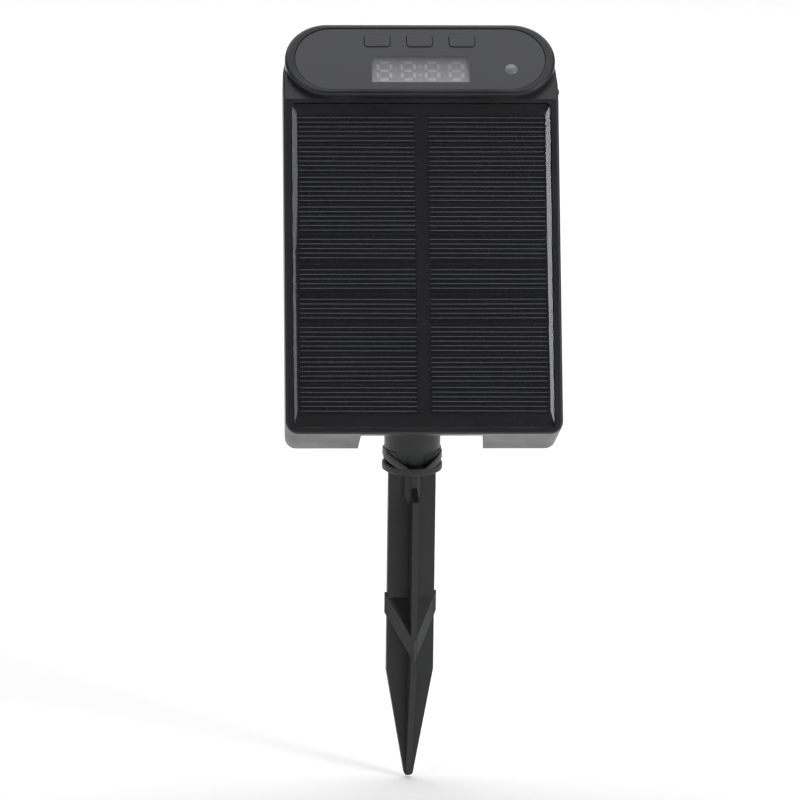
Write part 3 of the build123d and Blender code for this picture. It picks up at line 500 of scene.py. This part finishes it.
# painted light: the bars get a lighter copy of the stake's black, standing in for the light their upward
# faces catch
BAR_LIT_BLACK = Moulded("bar_lit_black", (0.034, 0.034, 0.037), (0.044, 0.044, 0.048), (0.38, 0.5), 0.4,
                    0.010, 10.0)
TUBE_BLACK = Moulded("tube_black", (0.014, 0.0145, 0.016), (0.020, 0.0205, 0.023), (0.32, 0.42), 0.4, 0.006)
FACE_GREY = Moulded("face_grey", (0.031, 0.032, 0.036), (0.034, 0.035, 0.039), (0.44, 0.50), 0.22,
                    0.006, 30.0)
KEY_GREY = Moulded("key_grey", (0.030, 0.031, 0.035), (0.033, 0.034, 0.038), (0.42, 0.48), 0.22, 0.006, 9.0)
SEAL_RUBBER = Moulded("seal_rubber", (0.012, 0.012, 0.012), (0.03, 0.03, 0.03), (0.6, 0.75), 0.3, 0.01)
BACKING_BLACK = Moulded("backing_black", (0.006, 0.006, 0.007), (0.009, 0.009, 0.010), (0.4, 0.55),
                        0.3, 0.004, 18.0, 0.12)
DISPLAY_BODY = Moulded("display_body", (0.15, 0.15, 0.155), (0.17, 0.17, 0.175), (0.5, 0.6), 0.3, 0.006)
SEGMENT_PALE = Moulded("segment_pale", (0.42, 0.42, 0.41), (0.46, 0.46, 0.45), (0.4, 0.5), 0.3, 0.003)
LAMP_MILK = Moulded("lamp_milk", (0.34, 0.34, 0.35), (0.42, 0.42, 0.43), (0.5, 0.6), 0.3, 0.004, 2.0)
SWITCH_BLACK = Moulded("switch_black", (0.014, 0.014, 0.014), (0.03, 0.03, 0.03), (0.35, 0.5), 0.25, 0.01)
INNER_BLACK = Moulded("inner_black", (0.022, 0.022, 0.024), (0.034, 0.034, 0.036), (0.45, 0.6), 0.4, 0.015)
SLEEVE_BLUE = Moulded("sleeve_blue", (0.02, 0.08, 0.28), (0.03, 0.10, 0.33), (0.2, 0.32), 1.2, 0.01, 12.0)
FILM_BLUE = Moulded("film_blue", (0.02, 0.05, 0.24), (0.03, 0.07, 0.30), (0.3, 0.4), 0.5, 0.01)
CAN_BLACK = Moulded("can_black", (0.015, 0.015, 0.018), (0.04, 0.04, 0.045), (0.2, 0.3), 1.0, 0.01)
FERRITE = Moulded("ferrite", (0.030, 0.030, 0.032), (0.055, 0.055, 0.058), (0.5, 0.7), 0.2, 0.03)
LEAD_RED = Moulded("lead_red", (0.36, 0.012, 0.010), (0.45, 0.03, 0.02), (0.3, 0.42), 0.4, 0.006)
NYLON = Moulded("nylon", (0.62, 0.62, 0.58), (0.70, 0.70, 0.66), (0.35, 0.5), 0.5, 0.008)
NUT_RED = Moulded("nut_red", (0.42, 0.014, 0.012), (0.50, 0.03, 0.025), (0.3, 0.42), 0.4, 0.008, 8.0)
NUT_GREEN = Moulded("nut_green", (0.012, 0.20, 0.045), (0.02, 0.26, 0.06), (0.3, 0.42), 0.4, 0.008, 8.0)
ZINC = Plated("zinc_steel", (0.62, 0.63, 0.64), (0.42, 0.43, 0.44), (0.24, 0.42), (1, 6, 1))
BLACK_STEEL = Plated("black_steel", (0.05, 0.05, 0.052), (0.09, 0.08, 0.07), (0.35, 0.5))
SPRING_NICKEL = Plated("spring_nickel", (0.66, 0.64, 0.60), (0.5, 0.48, 0.44), (0.2, 0.35))
FINGER_SILVER = Moulded("finger_silver", (0.12, 0.12, 0.125), (0.09, 0.09, 0.095), (0.5, 0.6), 0.2,
                        0.003, 9.0)
RESIN = Clear("cover_resin", (0.97, 0.97, 0.98), 0.02, 30.0, 0.05)
# painted shade: the upper tint of each hazy finish is darker than the lower one, standing in for the
# bezel's shadow at the top
SMOKED = Hazy("smoked_window", (0.40, 0.40, 0.405), (0.74, 0.74, 0.75), WINDOW_HEIGHTS, 0.80, 0.02)
LENS = Hazy("lamp_lens", (0.22, 0.22, 0.225), (0.26, 0.26, 0.265), WINDOW_HEIGHTS, 0.25, 0.35)
TAPE = Wound("winding_tape", (0.62, 0.40, 0.05), (0.45, 0.28, 0.03))

NODE_FINISHES = {
    "front_shell": FRONT_BLACK,
    "rear_shell": CASE_BLACK,
    "case_gasket": SEAL_RUBBER,
    "solar_backing": BACKING_BLACK,
    "solar_cells": Silicon(),
    "solar_cover": RESIN,
    "control_face": FACE_GREY,
    "display_window": SMOKED,
    "display_module": DISPLAY_BODY,
    "display_segments": SEGMENT_PALE,
    "status_lens": LENS,
    "status_led": LAMP_MILK,
    "control_board": Laminate(),
    "tact_switches": SWITCH_BLACK,
    "main_board": Laminate(),
    "board_screws": ZINC,
    "case_screws": BLACK_STEEL,
    "battery_cradle": INNER_BLACK,
    "battery_cell": SLEEVE_BLUE,
    "battery_contacts": SPRING_NICKEL,
    "storage_capacitor": FILM_BLUE,
    "transformer_core": FERRITE,
    "transformer_winding": TAPE,
    "board_capacitors": CAN_BLACK,
    "board_parts": SWITCH_BLACK,
    "pulse_leads": LEAD_RED,
    "battery_leads": LEAD_RED,
    "panel_leads": LEAD_RED,
    "fence_stud": ZINC,
    "earth_stud": ZINC,
    "terminal_washers": ZINC,
    "power_switch": SWITCH_BLACK,
    "pivot_bolt": ZINC,
    "hinge_washers": NYLON,
    "socket_tube": TUBE_BLACK,
    "pivot_bush": NYLON,
    "ground_stake": STAKE_BLACK,
    "tilt_knob": INNER_BLACK,
    "key_1": KEY_GREY,
    "key_2": KEY_GREY,
    "key_3": KEY_GREY,
    "power_slider": SWITCH_BLACK,
    "fence_nut": NUT_RED,
    "earth_nut": NUT_GREEN,
}


class Paint:
    """The finishes already made, each once."""

    def __init__(self) -> None:
        """Starts with none."""
        self.made: dict = {}

    def of(self, finish: object) -> bpy.types.Material:
        """Gives a finish's material.

        Args:
            finish: The finish.

        Returns:
            Its material, made at the first call.
        """
        if finish.name not in self.made:
            self.made[finish.name] = finish.make()
        return self.made[finish.name]

    def dress(self, piece: bpy.types.Object, *finishes: object) -> None:
        """Gives a piece its finishes.

        Args:
            piece: The piece.
            finishes: One finish for each material slot.
        """
        while len(piece.data.materials) < len(finishes):
            piece.data.materials.append(None)
        for index, finish in enumerate(finishes):
            piece.data.materials[index] = self.of(finish)

    def dress_nodes(self) -> None:
        """Gives every node of the model its finish."""
        for name, finish in NODE_FINISHES.items():
            self.dress(nodes[name], finish)
            log.info("node %s: %s", name, finish.name)


# ---------------------------------------------------------------- modelling


def alone(*pieces: bpy.types.Object) -> None:
    """Selects only these pieces.

    Args:
        pieces: The pieces, the last of which becomes the active one.
    """
    bpy.ops.object.select_all(action="DESELECT")
    for piece in pieces:
        piece.select_set(True)
        bpy.context.view_layer.objects.active = piece


def primitive_box(name: str, low: tuple, high: tuple) -> bpy.types.Object:
    """Adds a box between two corners.

    Args:
        name: The piece's name.
        low: Its lowest corner in millimetres.
        high: Its highest corner in millimetres.

    Returns:
        The box, with its place in its mesh.
    """
    bpy.ops.object.select_all(action="DESELECT")
    middle = [(a + b) / 2 * MM for a, b in zip(low, high)]
    size = [(b - a) * MM for a, b in zip(low, high)]
    bpy.ops.mesh.primitive_cube_add(size=1.0, location=middle)
    piece = bpy.context.object
    piece.name = name
    piece.scale = size
    bpy.ops.object.transform_apply(location=True, rotation=True, scale=True)
    return piece


def pick(piece: bpy.types.Object, mode: str, wanted: object) -> int:
    """Selects the parts of a mesh, in edit mode, that a test holds for.

    Args:
        piece: The piece, which is in edit mode.
        mode: VERT, EDGE or FACE.
        wanted: A test on a bmesh element.

    Returns:
        How many were selected.
    """
    bpy.ops.mesh.select_mode(type=mode)
    bpy.ops.mesh.select_all(action="DESELECT")
    mesh = bmesh.from_edit_mesh(piece.data)
    mesh.normal_update()
    parts = {"VERT": mesh.verts, "EDGE": mesh.edges, "FACE": mesh.faces}[mode]
    found = [part for part in parts if wanted(part)]
    for part in found:
        part.select_set(True)
    mesh.select_flush_mode()
    bmesh.update_edit_mesh(piece.data)
    return len(found)


def settle(piece: bpy.types.Object, body: Body, smooth: float = 35.0) -> bpy.types.Object:
    """Finishes a piece: smooth faces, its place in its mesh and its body.

    Args:
        piece: The piece.
        body: The body that it rides on.
        smooth: The angle under which faces blend, in degrees.

    Returns:
        The piece.
    """
    alone(piece)
    bpy.ops.object.transform_apply(location=True, rotation=True, scale=True)
    bpy.ops.object.shade_smooth_by_angle(angle=math.radians(smooth))
    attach(piece, body.value)
    log.info("piece %s: %d faces", piece.name, len(piece.data.polygons))
    return piece


@dataclass
class SolarPanel:
    """The cell strips with their silver fingers, under the cast cover with its sloping rim."""

    width: float = 109.2
    bottom: float = 2.6
    height: float = 139.4
    corner: float = 1.8
    front: float = -0.3
    rim_depth: float = 0.6
    cover_back: float = 1.29
    side_rim: float = 2.5
    top_rim: float = 3.9
    bottom_rim: float = 7.0
    strip_width: float = 49.4
    strip_height: float = 12.32
    strip_pitch: float = 12.92
    strip_front: float = 1.32
    strip_back: float = 1.6
    strips_bottom: float = 8.6
    column_gap: float = 5.5
    finger_pitch: float = 1.99
    finger_width: float = 0.18
    finger_rise: float = 0.025
    finger_inset: float = 0.35
    finger_sunk: float = 0.01
    finger_edge: float = 0.012
    cell_edge: float = 0.08
    front_edge: float = 0.9
    rim_edge: float = 0.25
    row_fingers: tuple = (6, 6, 6, 5, 5, 5, 6, 6, 6, 6)
    skews: tuple = (0.1, -0.14, 0.05, 0.16, -0.08, 0.12, -0.12, 0.02, 0.14, -0.06)
    shifts: tuple = (0.0, 0.09, -0.05, 0.07, -0.08, 0.04, 0.1, -0.06, 0.025, -0.04)

    def build(self, paint: Paint) -> None:
        """Builds the strips and the cover.

        Args:
            paint: The finishes.
        """
        self.strips(paint)
        self.cover(paint)

    def strip(self, paint: Paint, fingers: int) -> bpy.types.Object:
        """Models one strip about the case frame's origin.

        Args:
            paint: The finishes.
            fingers: How many fingers it has.

        Returns:
            The strip, its cell in the first slot and its fingers in the second.
        """
        half = self.strip_width / 2
        cell = primitive_box("strip", (-half, self.strip_front, -self.strip_height / 2),
                             (half, self.strip_back, self.strip_height / 2))
        bpy.ops.object.mode_set(mode="EDIT")
        front = self.strip_front * MM
        pick(cell, "EDGE", lambda e: all(abs(v.co.y - front) < NEAR for v in e.verts))
        bpy.ops.mesh.bevel(offset=self.cell_edge * MM, segments=1)
        bpy.ops.object.mode_set(mode="OBJECT")
        start = -self.finger_pitch * (fingers - 1) / 2
        reach = half - self.finger_inset
        low = (-reach, self.strip_front - self.finger_rise, start - self.finger_width / 2)
        high = (reach, self.strip_front + self.finger_sunk, start + self.finger_width / 2)
        finger = primitive_box("finger", low, high)
        bpy.ops.object.mode_set(mode="EDIT")
        top = (self.strip_front - self.finger_rise) * MM
        pick(finger, "EDGE", lambda e: all(abs(v.co.y - top) < NEAR for v in e.verts))
        bpy.ops.mesh.bevel(offset=self.finger_edge * MM, segments=1)
        bpy.ops.object.mode_set(mode="OBJECT")
        row = finger.modifiers.new("row", "ARRAY")
        row.count = fingers
        row.use_relative_offset = False
        row.use_constant_offset = True
        row.constant_offset_displace = (0, 0, self.finger_pitch * MM)
        bpy.ops.object.modifier_apply(modifier="row")
        paint.dress(cell, Silicon())
        paint.dress(finger, FINGER_SILVER)
        alone(finger, cell)
        bpy.ops.object.join()
        return cell

    def strips(self, paint: Paint) -> None:
        """Lays the strips in two columns, each a little off true.

        Args:
            paint: The finishes.
        """
        models = {count: self.strip(paint, count) for count in sorted(set(self.row_fingers))}
        across = (self.strip_width + self.column_gap) / 2
        number = 0
        for row, count in enumerate(self.row_fingers):
            for column, side in enumerate((-1, 1)):
                number += 1
                alone(models[count])
                bpy.ops.object.duplicate(linked=False)
                piece = bpy.context.object
                piece.name = f"cell_strip_{number:02d}"
                order = (row + 3 * column) % len(self.skews)
                turn = Matrix.Rotation(math.radians(self.skews[order]), 4, "Y")
                height = self.strips_bottom + row * self.strip_pitch + self.strip_height / 2
                shift = self.shifts[order]
                place = Matrix.Translation((side * across * MM, 0, (height + shift) * MM))
                piece.matrix_world = case_place() @ place @ turn
                settle(piece, Body.CASE, 20.0)
                if number == 1:
                    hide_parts("solar_cells")
        for model in models.values():
            bpy.data.objects.remove(model)

    def cover(self, paint: Paint) -> None:
        """Casts the cover: a slab whose front drops to the rim on each side.

        Args:
            paint: The finishes.
        """
        half = self.width / 2
        top = self.bottom + self.height
        low_corner = (-half, self.rim_depth, self.bottom)
        slab = primitive_box("resin_cover", low_corner, (half, self.cover_back, top))
        bpy.ops.object.mode_set(mode="EDIT")
        face_y = self.rim_depth * MM
        pick(slab, "EDGE", lambda e: abs(e.verts[0].co.y - e.verts[1].co.y) > NEAR)
        bpy.ops.mesh.bevel(offset=self.corner * MM, segments=4)
        pick(slab, "FACE", lambda f: f.normal.y < -0.9)
        bpy.ops.mesh.extrude_region_move(TRANSFORM_OT_translate={"value": (0, 0, 0)})
        mesh = bmesh.from_edit_mesh(slab.data)
        for vert in {v for f in mesh.faces if f.select for v in f.verts}:
            x, z = vert.co.x / MM, vert.co.z / MM
            x *= (half - self.side_rim) / half
            low, high = self.bottom + self.bottom_rim, top - self.top_rim
            z = low + (z - self.bottom) / self.height * (high - low)
            vert.co = Vector((x * MM, self.front * MM, z * MM))
        bmesh.update_edit_mesh(slab.data)
        front = self.front * MM
        pick(slab, "EDGE", lambda e: all(abs(v.co.y - front) < NEAR for v in e.verts))
        bpy.ops.mesh.bevel(offset=self.front_edge * MM, segments=4)
        pick(slab, "EDGE", lambda e: all(abs(v.co.y - face_y) < NEAR for v in e.verts))
        bpy.ops.mesh.bevel(offset=self.rim_edge * MM, segments=2)
        bpy.ops.mesh.select_all(action="SELECT")
        bpy.ops.mesh.normals_make_consistent(inside=False)
        bpy.ops.object.mode_set(mode="OBJECT")
        slab.matrix_world = case_place()
        paint.dress(slab, RESIN)
        settle(slab, Body.CASE, 6.0)
        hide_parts("solar_cover")


def head_place() -> Matrix:
    """Gives the place of the sloping head's middle.

    Returns:
        The matrix from the head's frame, whose Z stands out of the slope, to the shared frame.
    """
    sine, cosine = math.sin(HEAD_SLOPE), math.cos(HEAD_SLOPE)
    turn = Matrix(((1, 0, 0, 0), (0, sine, -cosine, 0), (0, cosine, sine, 0), (0, 0, 0, 1)))
    middle = Matrix.Translation((0, HEAD_UP_SLOPE * sine * MM, (SLOPE_START + HEAD_UP_SLOPE * cosine) * MM))
    return case_place() @ middle @ turn


@dataclass
class ShoulderBlend:
    """The smooth hollow between the foot of the head's ring and the case's shoulders."""

    ring_width: float = 114.6
    ring_height: float = 36.4
    reach: float = 6.5
    rise: float = 1.9
    sunk: float = 0.5
    overlap: float = 0.4
    sweep_degrees: float = 105.0
    arc_steps: int = 10
    turn_steps: int = 28
    side: float = 58.1
    lowest: float = 142.5
    front: float = 0.02

    def build(self, paint: Paint) -> None:
        """Builds the blend on both sides.

        Args:
            paint: The finishes.
        """
        for side, name in ((-1, "left_shoulder_blend"), (1, "right_shoulder_blend")):
            piece = self.swept(name, side)
            self.trim(piece, side)
            paint.dress(piece, FRONT_BLACK)
            settle(piece, Body.CASE, 50.0)

    def swept(self, name: str, side: int) -> bpy.types.Object:
        """Spins the hollow's profile round one lower quarter of the ring.

        Args:
            name: The piece's name.
            side: -1 for the left, 1 for the right.

        Returns:
            The swept piece, in the head's frame.
        """
        radius = self.ring_height / 2
        centre = side * (self.ring_width / 2 - radius)
        bpy.ops.object.select_all(action="DESELECT")
        bpy.ops.mesh.primitive_circle_add(vertices=self.arc_steps + 4, radius=MM, fill_type="NOTHING")
        piece = bpy.context.object
        piece.name = name
        points = [(-self.overlap, self.rise)]
        for step in range(self.arc_steps + 1):
            angle = math.pi / 2 * step / self.arc_steps
            points.append((self.reach * (1 - math.cos(angle)), self.rise * (1 - math.sin(angle))))
        points += [(self.reach, -self.sunk), (-self.overlap, -self.sunk)]
        for vert, (out, height) in zip(piece.data.vertices, points):
            vert.co = Vector((centre * MM, -(radius + out) * MM, height * MM))
        bpy.ops.object.mode_set(mode="EDIT")
        bpy.ops.mesh.select_all(action="SELECT")
        bpy.ops.mesh.spin(steps=self.turn_steps, angle=side * math.radians(self.sweep_degrees),
                          center=(centre * MM, 0, 0), axis=(0, 0, 1))
        bpy.ops.mesh.select_all(action="SELECT")
        bpy.ops.mesh.remove_doubles(threshold=MERGE)
        pick(piece, "EDGE", lambda e: e.is_boundary)
        bpy.ops.mesh.edge_face_add()
        bpy.ops.mesh.select_all(action="SELECT")
        bpy.ops.mesh.normals_make_consistent(inside=False)
        bpy.ops.object.mode_set(mode="OBJECT")
        return piece

    def trim(self, piece: bpy.types.Object, side: int) -> None:
        """Cuts the piece off at the case's side, its front face and the panel's recess.

        Args:
            piece: The swept piece, in the head's frame.
            side: -1 for the left, 1 for the right.
        """
        piece.matrix_world = case_place().inverted() @ head_place()
        alone(piece)
        bpy.ops.object.transform_apply(location=True, rotation=True, scale=True)
        cuts = (((side * self.side, 0, 0), (side, 0, 0)), ((0, self.front, 0), (0, -1, 0)),
                ((0, 0, self.lowest), (0, 0, -1)))
        bpy.ops.object.mode_set(mode="EDIT")
        for place, outwards in cuts:
            bpy.ops.mesh.select_all(action="SELECT")
            bpy.ops.mesh.bisect(plane_co=[part * MM for part in place], plane_no=outwards, clear_outer=True,
                                use_fill=True)
        bpy.ops.object.mode_set(mode="OBJECT")
        piece.matrix_world = case_place()


@dataclass
class CrownBars:
    """The raised faces of the stake's slanting bars, which stand proud of the tube in front and behind."""

    inner: float = 12.1
    outer: float = 12.85
    foot_half: float = 3.5
    foot_low: float = 0.15
    foot_high: float = 3.2
    end_low: float = 5.4
    end_high: float = 9.3
    half_angle: float = math.radians(72.0)
    turn: float = math.radians(8.0)
    sharp: float = math.radians(50.0)
    cuts: int = 47
    edge: float = 0.22

    def build(self, paint: Paint) -> None:
        """Builds the front bar and its copy at the back.

        Args:
            paint: The finishes.
        """
        front = self.bar("front_crown_bar")
        alone(front)
        bpy.ops.object.duplicate(linked=False)
        back = bpy.context.object
        back.name = "back_crown_bar"
        for piece, turn in ((front, self.turn), (back, self.turn + math.pi)):
            piece.matrix_world = Matrix.Rotation(turn, 4, "Z")
            # painted light: a lighter copy of the stake's black stands in for the light on the bars' upward
            # faces
            paint.dress(piece, BAR_LIT_BLACK)
            settle(piece, Body.STAKE, 40.0)

    def heights(self, across: float) -> tuple:
        """Gives the bar's heights at a distance from its middle.

        Args:
            across: The distance in millimetres.

        Returns:
            The lower and the upper height.
        """
        side = self.outer * math.sin(self.half_angle)
        share = max(0.0, (abs(across) - self.foot_half) / (side - self.foot_half))
        low = self.foot_low + share * (self.end_low - self.foot_low)
        return low, self.foot_high + share * (self.end_high - self.foot_high)

    def bar(self, name: str) -> bpy.types.Object:
        """Bends a long box round the stake and slants its two halves.

        Args:
            name: The piece's name.

        Returns:
            The bar, in front of the stake's axis.
        """
        piece = primitive_box(name, (-1, -1, 0), (1, 0, 1))
        bpy.ops.object.mode_set(mode="EDIT")
        pick(piece, "EDGE", lambda e: abs(e.verts[0].co.x - e.verts[1].co.x) > MM)
        bpy.ops.mesh.subdivide(number_cuts=self.cuts)
        mesh = bmesh.from_edit_mesh(piece.data)
        for vert in mesh.verts:
            angle = vert.co.x / MM * self.half_angle
            radius = self.outer if vert.co.y < -0.5 * MM else self.inner
            heights = self.heights(self.outer * math.sin(angle))
            height = heights[vert.co.z > 0.5 * MM]
            vert.co = Vector((radius * math.sin(angle), -radius * math.cos(angle), height)) * MM
        bmesh.update_edit_mesh(piece.data)
        pick(piece, "EDGE", lambda e: e.calc_face_angle(0.0) > self.sharp)
        bpy.ops.mesh.bevel(offset=self.edge * MM, segments=2)
        bpy.ops.mesh.select_all(action="SELECT")
        bpy.ops.mesh.normals_make_consistent(inside=False)
        bpy.ops.object.mode_set(mode="OBJECT")
        return piece


# ---------------------------------------------------------------- studio


@dataclass(frozen=True)
class Softbox:
    """One soft light: where it hangs, the point it faces, its width and height, and its power."""

    name: str
    place: tuple
    aim: tuple
    size: tuple
    watts: float

    def hang(self) -> None:
        """Adds the light to the scene."""
        data = bpy.data.lights.new(self.name, "AREA")
        data.shape = "RECTANGLE"
        data.size, data.size_y = self.size
        data.energy = self.watts
        lamp = bpy.data.objects.new(self.name, data)
        bpy.context.scene.collection.objects.link(lamp)
        lamp.location = self.place
        facing = Vector(self.aim) - Vector(self.place)
        lamp.rotation_euler = facing.to_track_quat("-Z", "Y").to_euler()


SOFTBOXES = (
    Softbox("overhead", (0.0, 0.75, 1.6), (0, 0, 0.1), (1.6, 0.9), 8.0),
    Softbox("right_key", (1.4, -1.15, 1.05), (0, 0, 0.08), (0.5, 1.7), 17.0),
    Softbox("left_fill", (-1.3, -1.3, 1.1), (0, 0, 0.08), (0.45, 1.7), 6.0),
    Softbox("backdrop_wash", (0.0, 0.6, 2.6), (0.0, 2.3, 0.2), (3.0, 1.0), 50.0),
)


@dataclass
class Studio:
    """The pale floor and backdrop, the soft lights and the camera."""

    distance: float = 3.0
    azimuth: float = -2.822
    elevation: float = 15.8
    roll: float = 0.729
    target: tuple = (-0.00547, 0.0, 0.0302)
    view_scale: float = 2347.0  # of a metre at the target, where the picture is picture_width across
    floor_height: float = -0.1392
    sweep_radius: float = 0.9
    sweep_front: float = -4.0
    sweep_back: float = 3.4
    sweep_top: float = 6.0
    sweep_width: float = 9.0
    sweep_steps: int = 24
    sensor: float = 36.0
    picture_width: float = 800.0
    nearest: float = 0.05
    farthest: float = 30.0
    room_light: float = 0.08

    def build(self) -> None:
        """Builds the whole studio."""
        self.camera()
        self.sweep()
        self.lights()
        scene = bpy.context.scene
        scene.view_settings.view_transform = "Standard"
        scene.view_settings.look = "None"

    def camera(self) -> None:
        """Makes the camera, a long lens slightly above the object."""
        a, e, r = (math.radians(v) for v in (self.azimuth, self.elevation, self.roll))
        back = Vector((math.sin(a) * math.cos(e), -math.cos(a) * math.cos(e), math.sin(e)))
        right = (-back).cross(Vector((0, 0, 1))).normalized()
        up = right.cross(-back)
        turned_right = right * math.cos(r) + up * math.sin(r)
        turned_up = up * math.cos(r) - right * math.sin(r)
        data = bpy.data.cameras.new("camera")
        data.sensor_width = self.sensor
        data.lens = self.view_scale * self.distance / self.picture_width * data.sensor_width
        data.clip_start = self.nearest
        data.clip_end = self.farthest
        camera = bpy.data.objects.new("camera", data)
        bpy.context.scene.collection.objects.link(camera)
        turn = Matrix((turned_right, turned_up, back)).transposed().to_4x4()
        camera.matrix_world = Matrix.Translation(Vector(self.target) + back * self.distance) @ turn
        bpy.context.scene.camera = camera

    def sweep(self) -> None:
        """Makes the floor that curves up into the backdrop."""
        bpy.ops.object.select_all(action="DESELECT")
        bpy.ops.mesh.primitive_plane_add(size=1.0)
        floor = bpy.context.object
        floor.name = "floor_sweep"
        mesh = bmesh.new()
        profile = [(self.sweep_front, self.floor_height)]
        for step in range(self.sweep_steps + 1):
            angle = math.pi / 2 * step / self.sweep_steps
            profile.append((self.sweep_back + self.sweep_radius * math.sin(angle),
                            self.floor_height + self.sweep_radius * (1 - math.cos(angle))))
        profile.append((self.sweep_back + self.sweep_radius, self.sweep_top))
        edge = self.sweep_width / 2
        rows = [[mesh.verts.new((side * edge, y, z)) for side in (-1, 1)] for y, z in profile]
        for low, high in zip(rows, rows[1:]):
            mesh.faces.new((low[0], low[1], high[1], high[0]))
        mesh.to_mesh(floor.data)
        mesh.free()
        for face in floor.data.polygons:
            face.use_smooth = True
        floor.data.materials.append(Paper().make())

    def lights(self) -> None:
        """Hangs the soft lights round the object."""
        world = bpy.data.worlds.new("room")
        world.use_nodes = True
        world.node_tree.nodes["Background"].inputs[0].default_value = (1.0, 1.0, 1.0, 1.0)
        world.node_tree.nodes["Background"].inputs[1].default_value = self.room_light
        bpy.context.scene.world = world
        for softbox in SOFTBOXES:
            softbox.hang()


def main() -> None:
    """Builds the looks in order."""
    logging.basicConfig(level=logging.INFO, format="%(name)s %(message)s")
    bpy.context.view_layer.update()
    paint = Paint()
    paint.dress_nodes()
    SolarPanel().build(paint)
    ShoulderBlend().build(paint)
    CrownBars().build(paint)
    Studio().build()


if __name__ == "__main__":
    main()
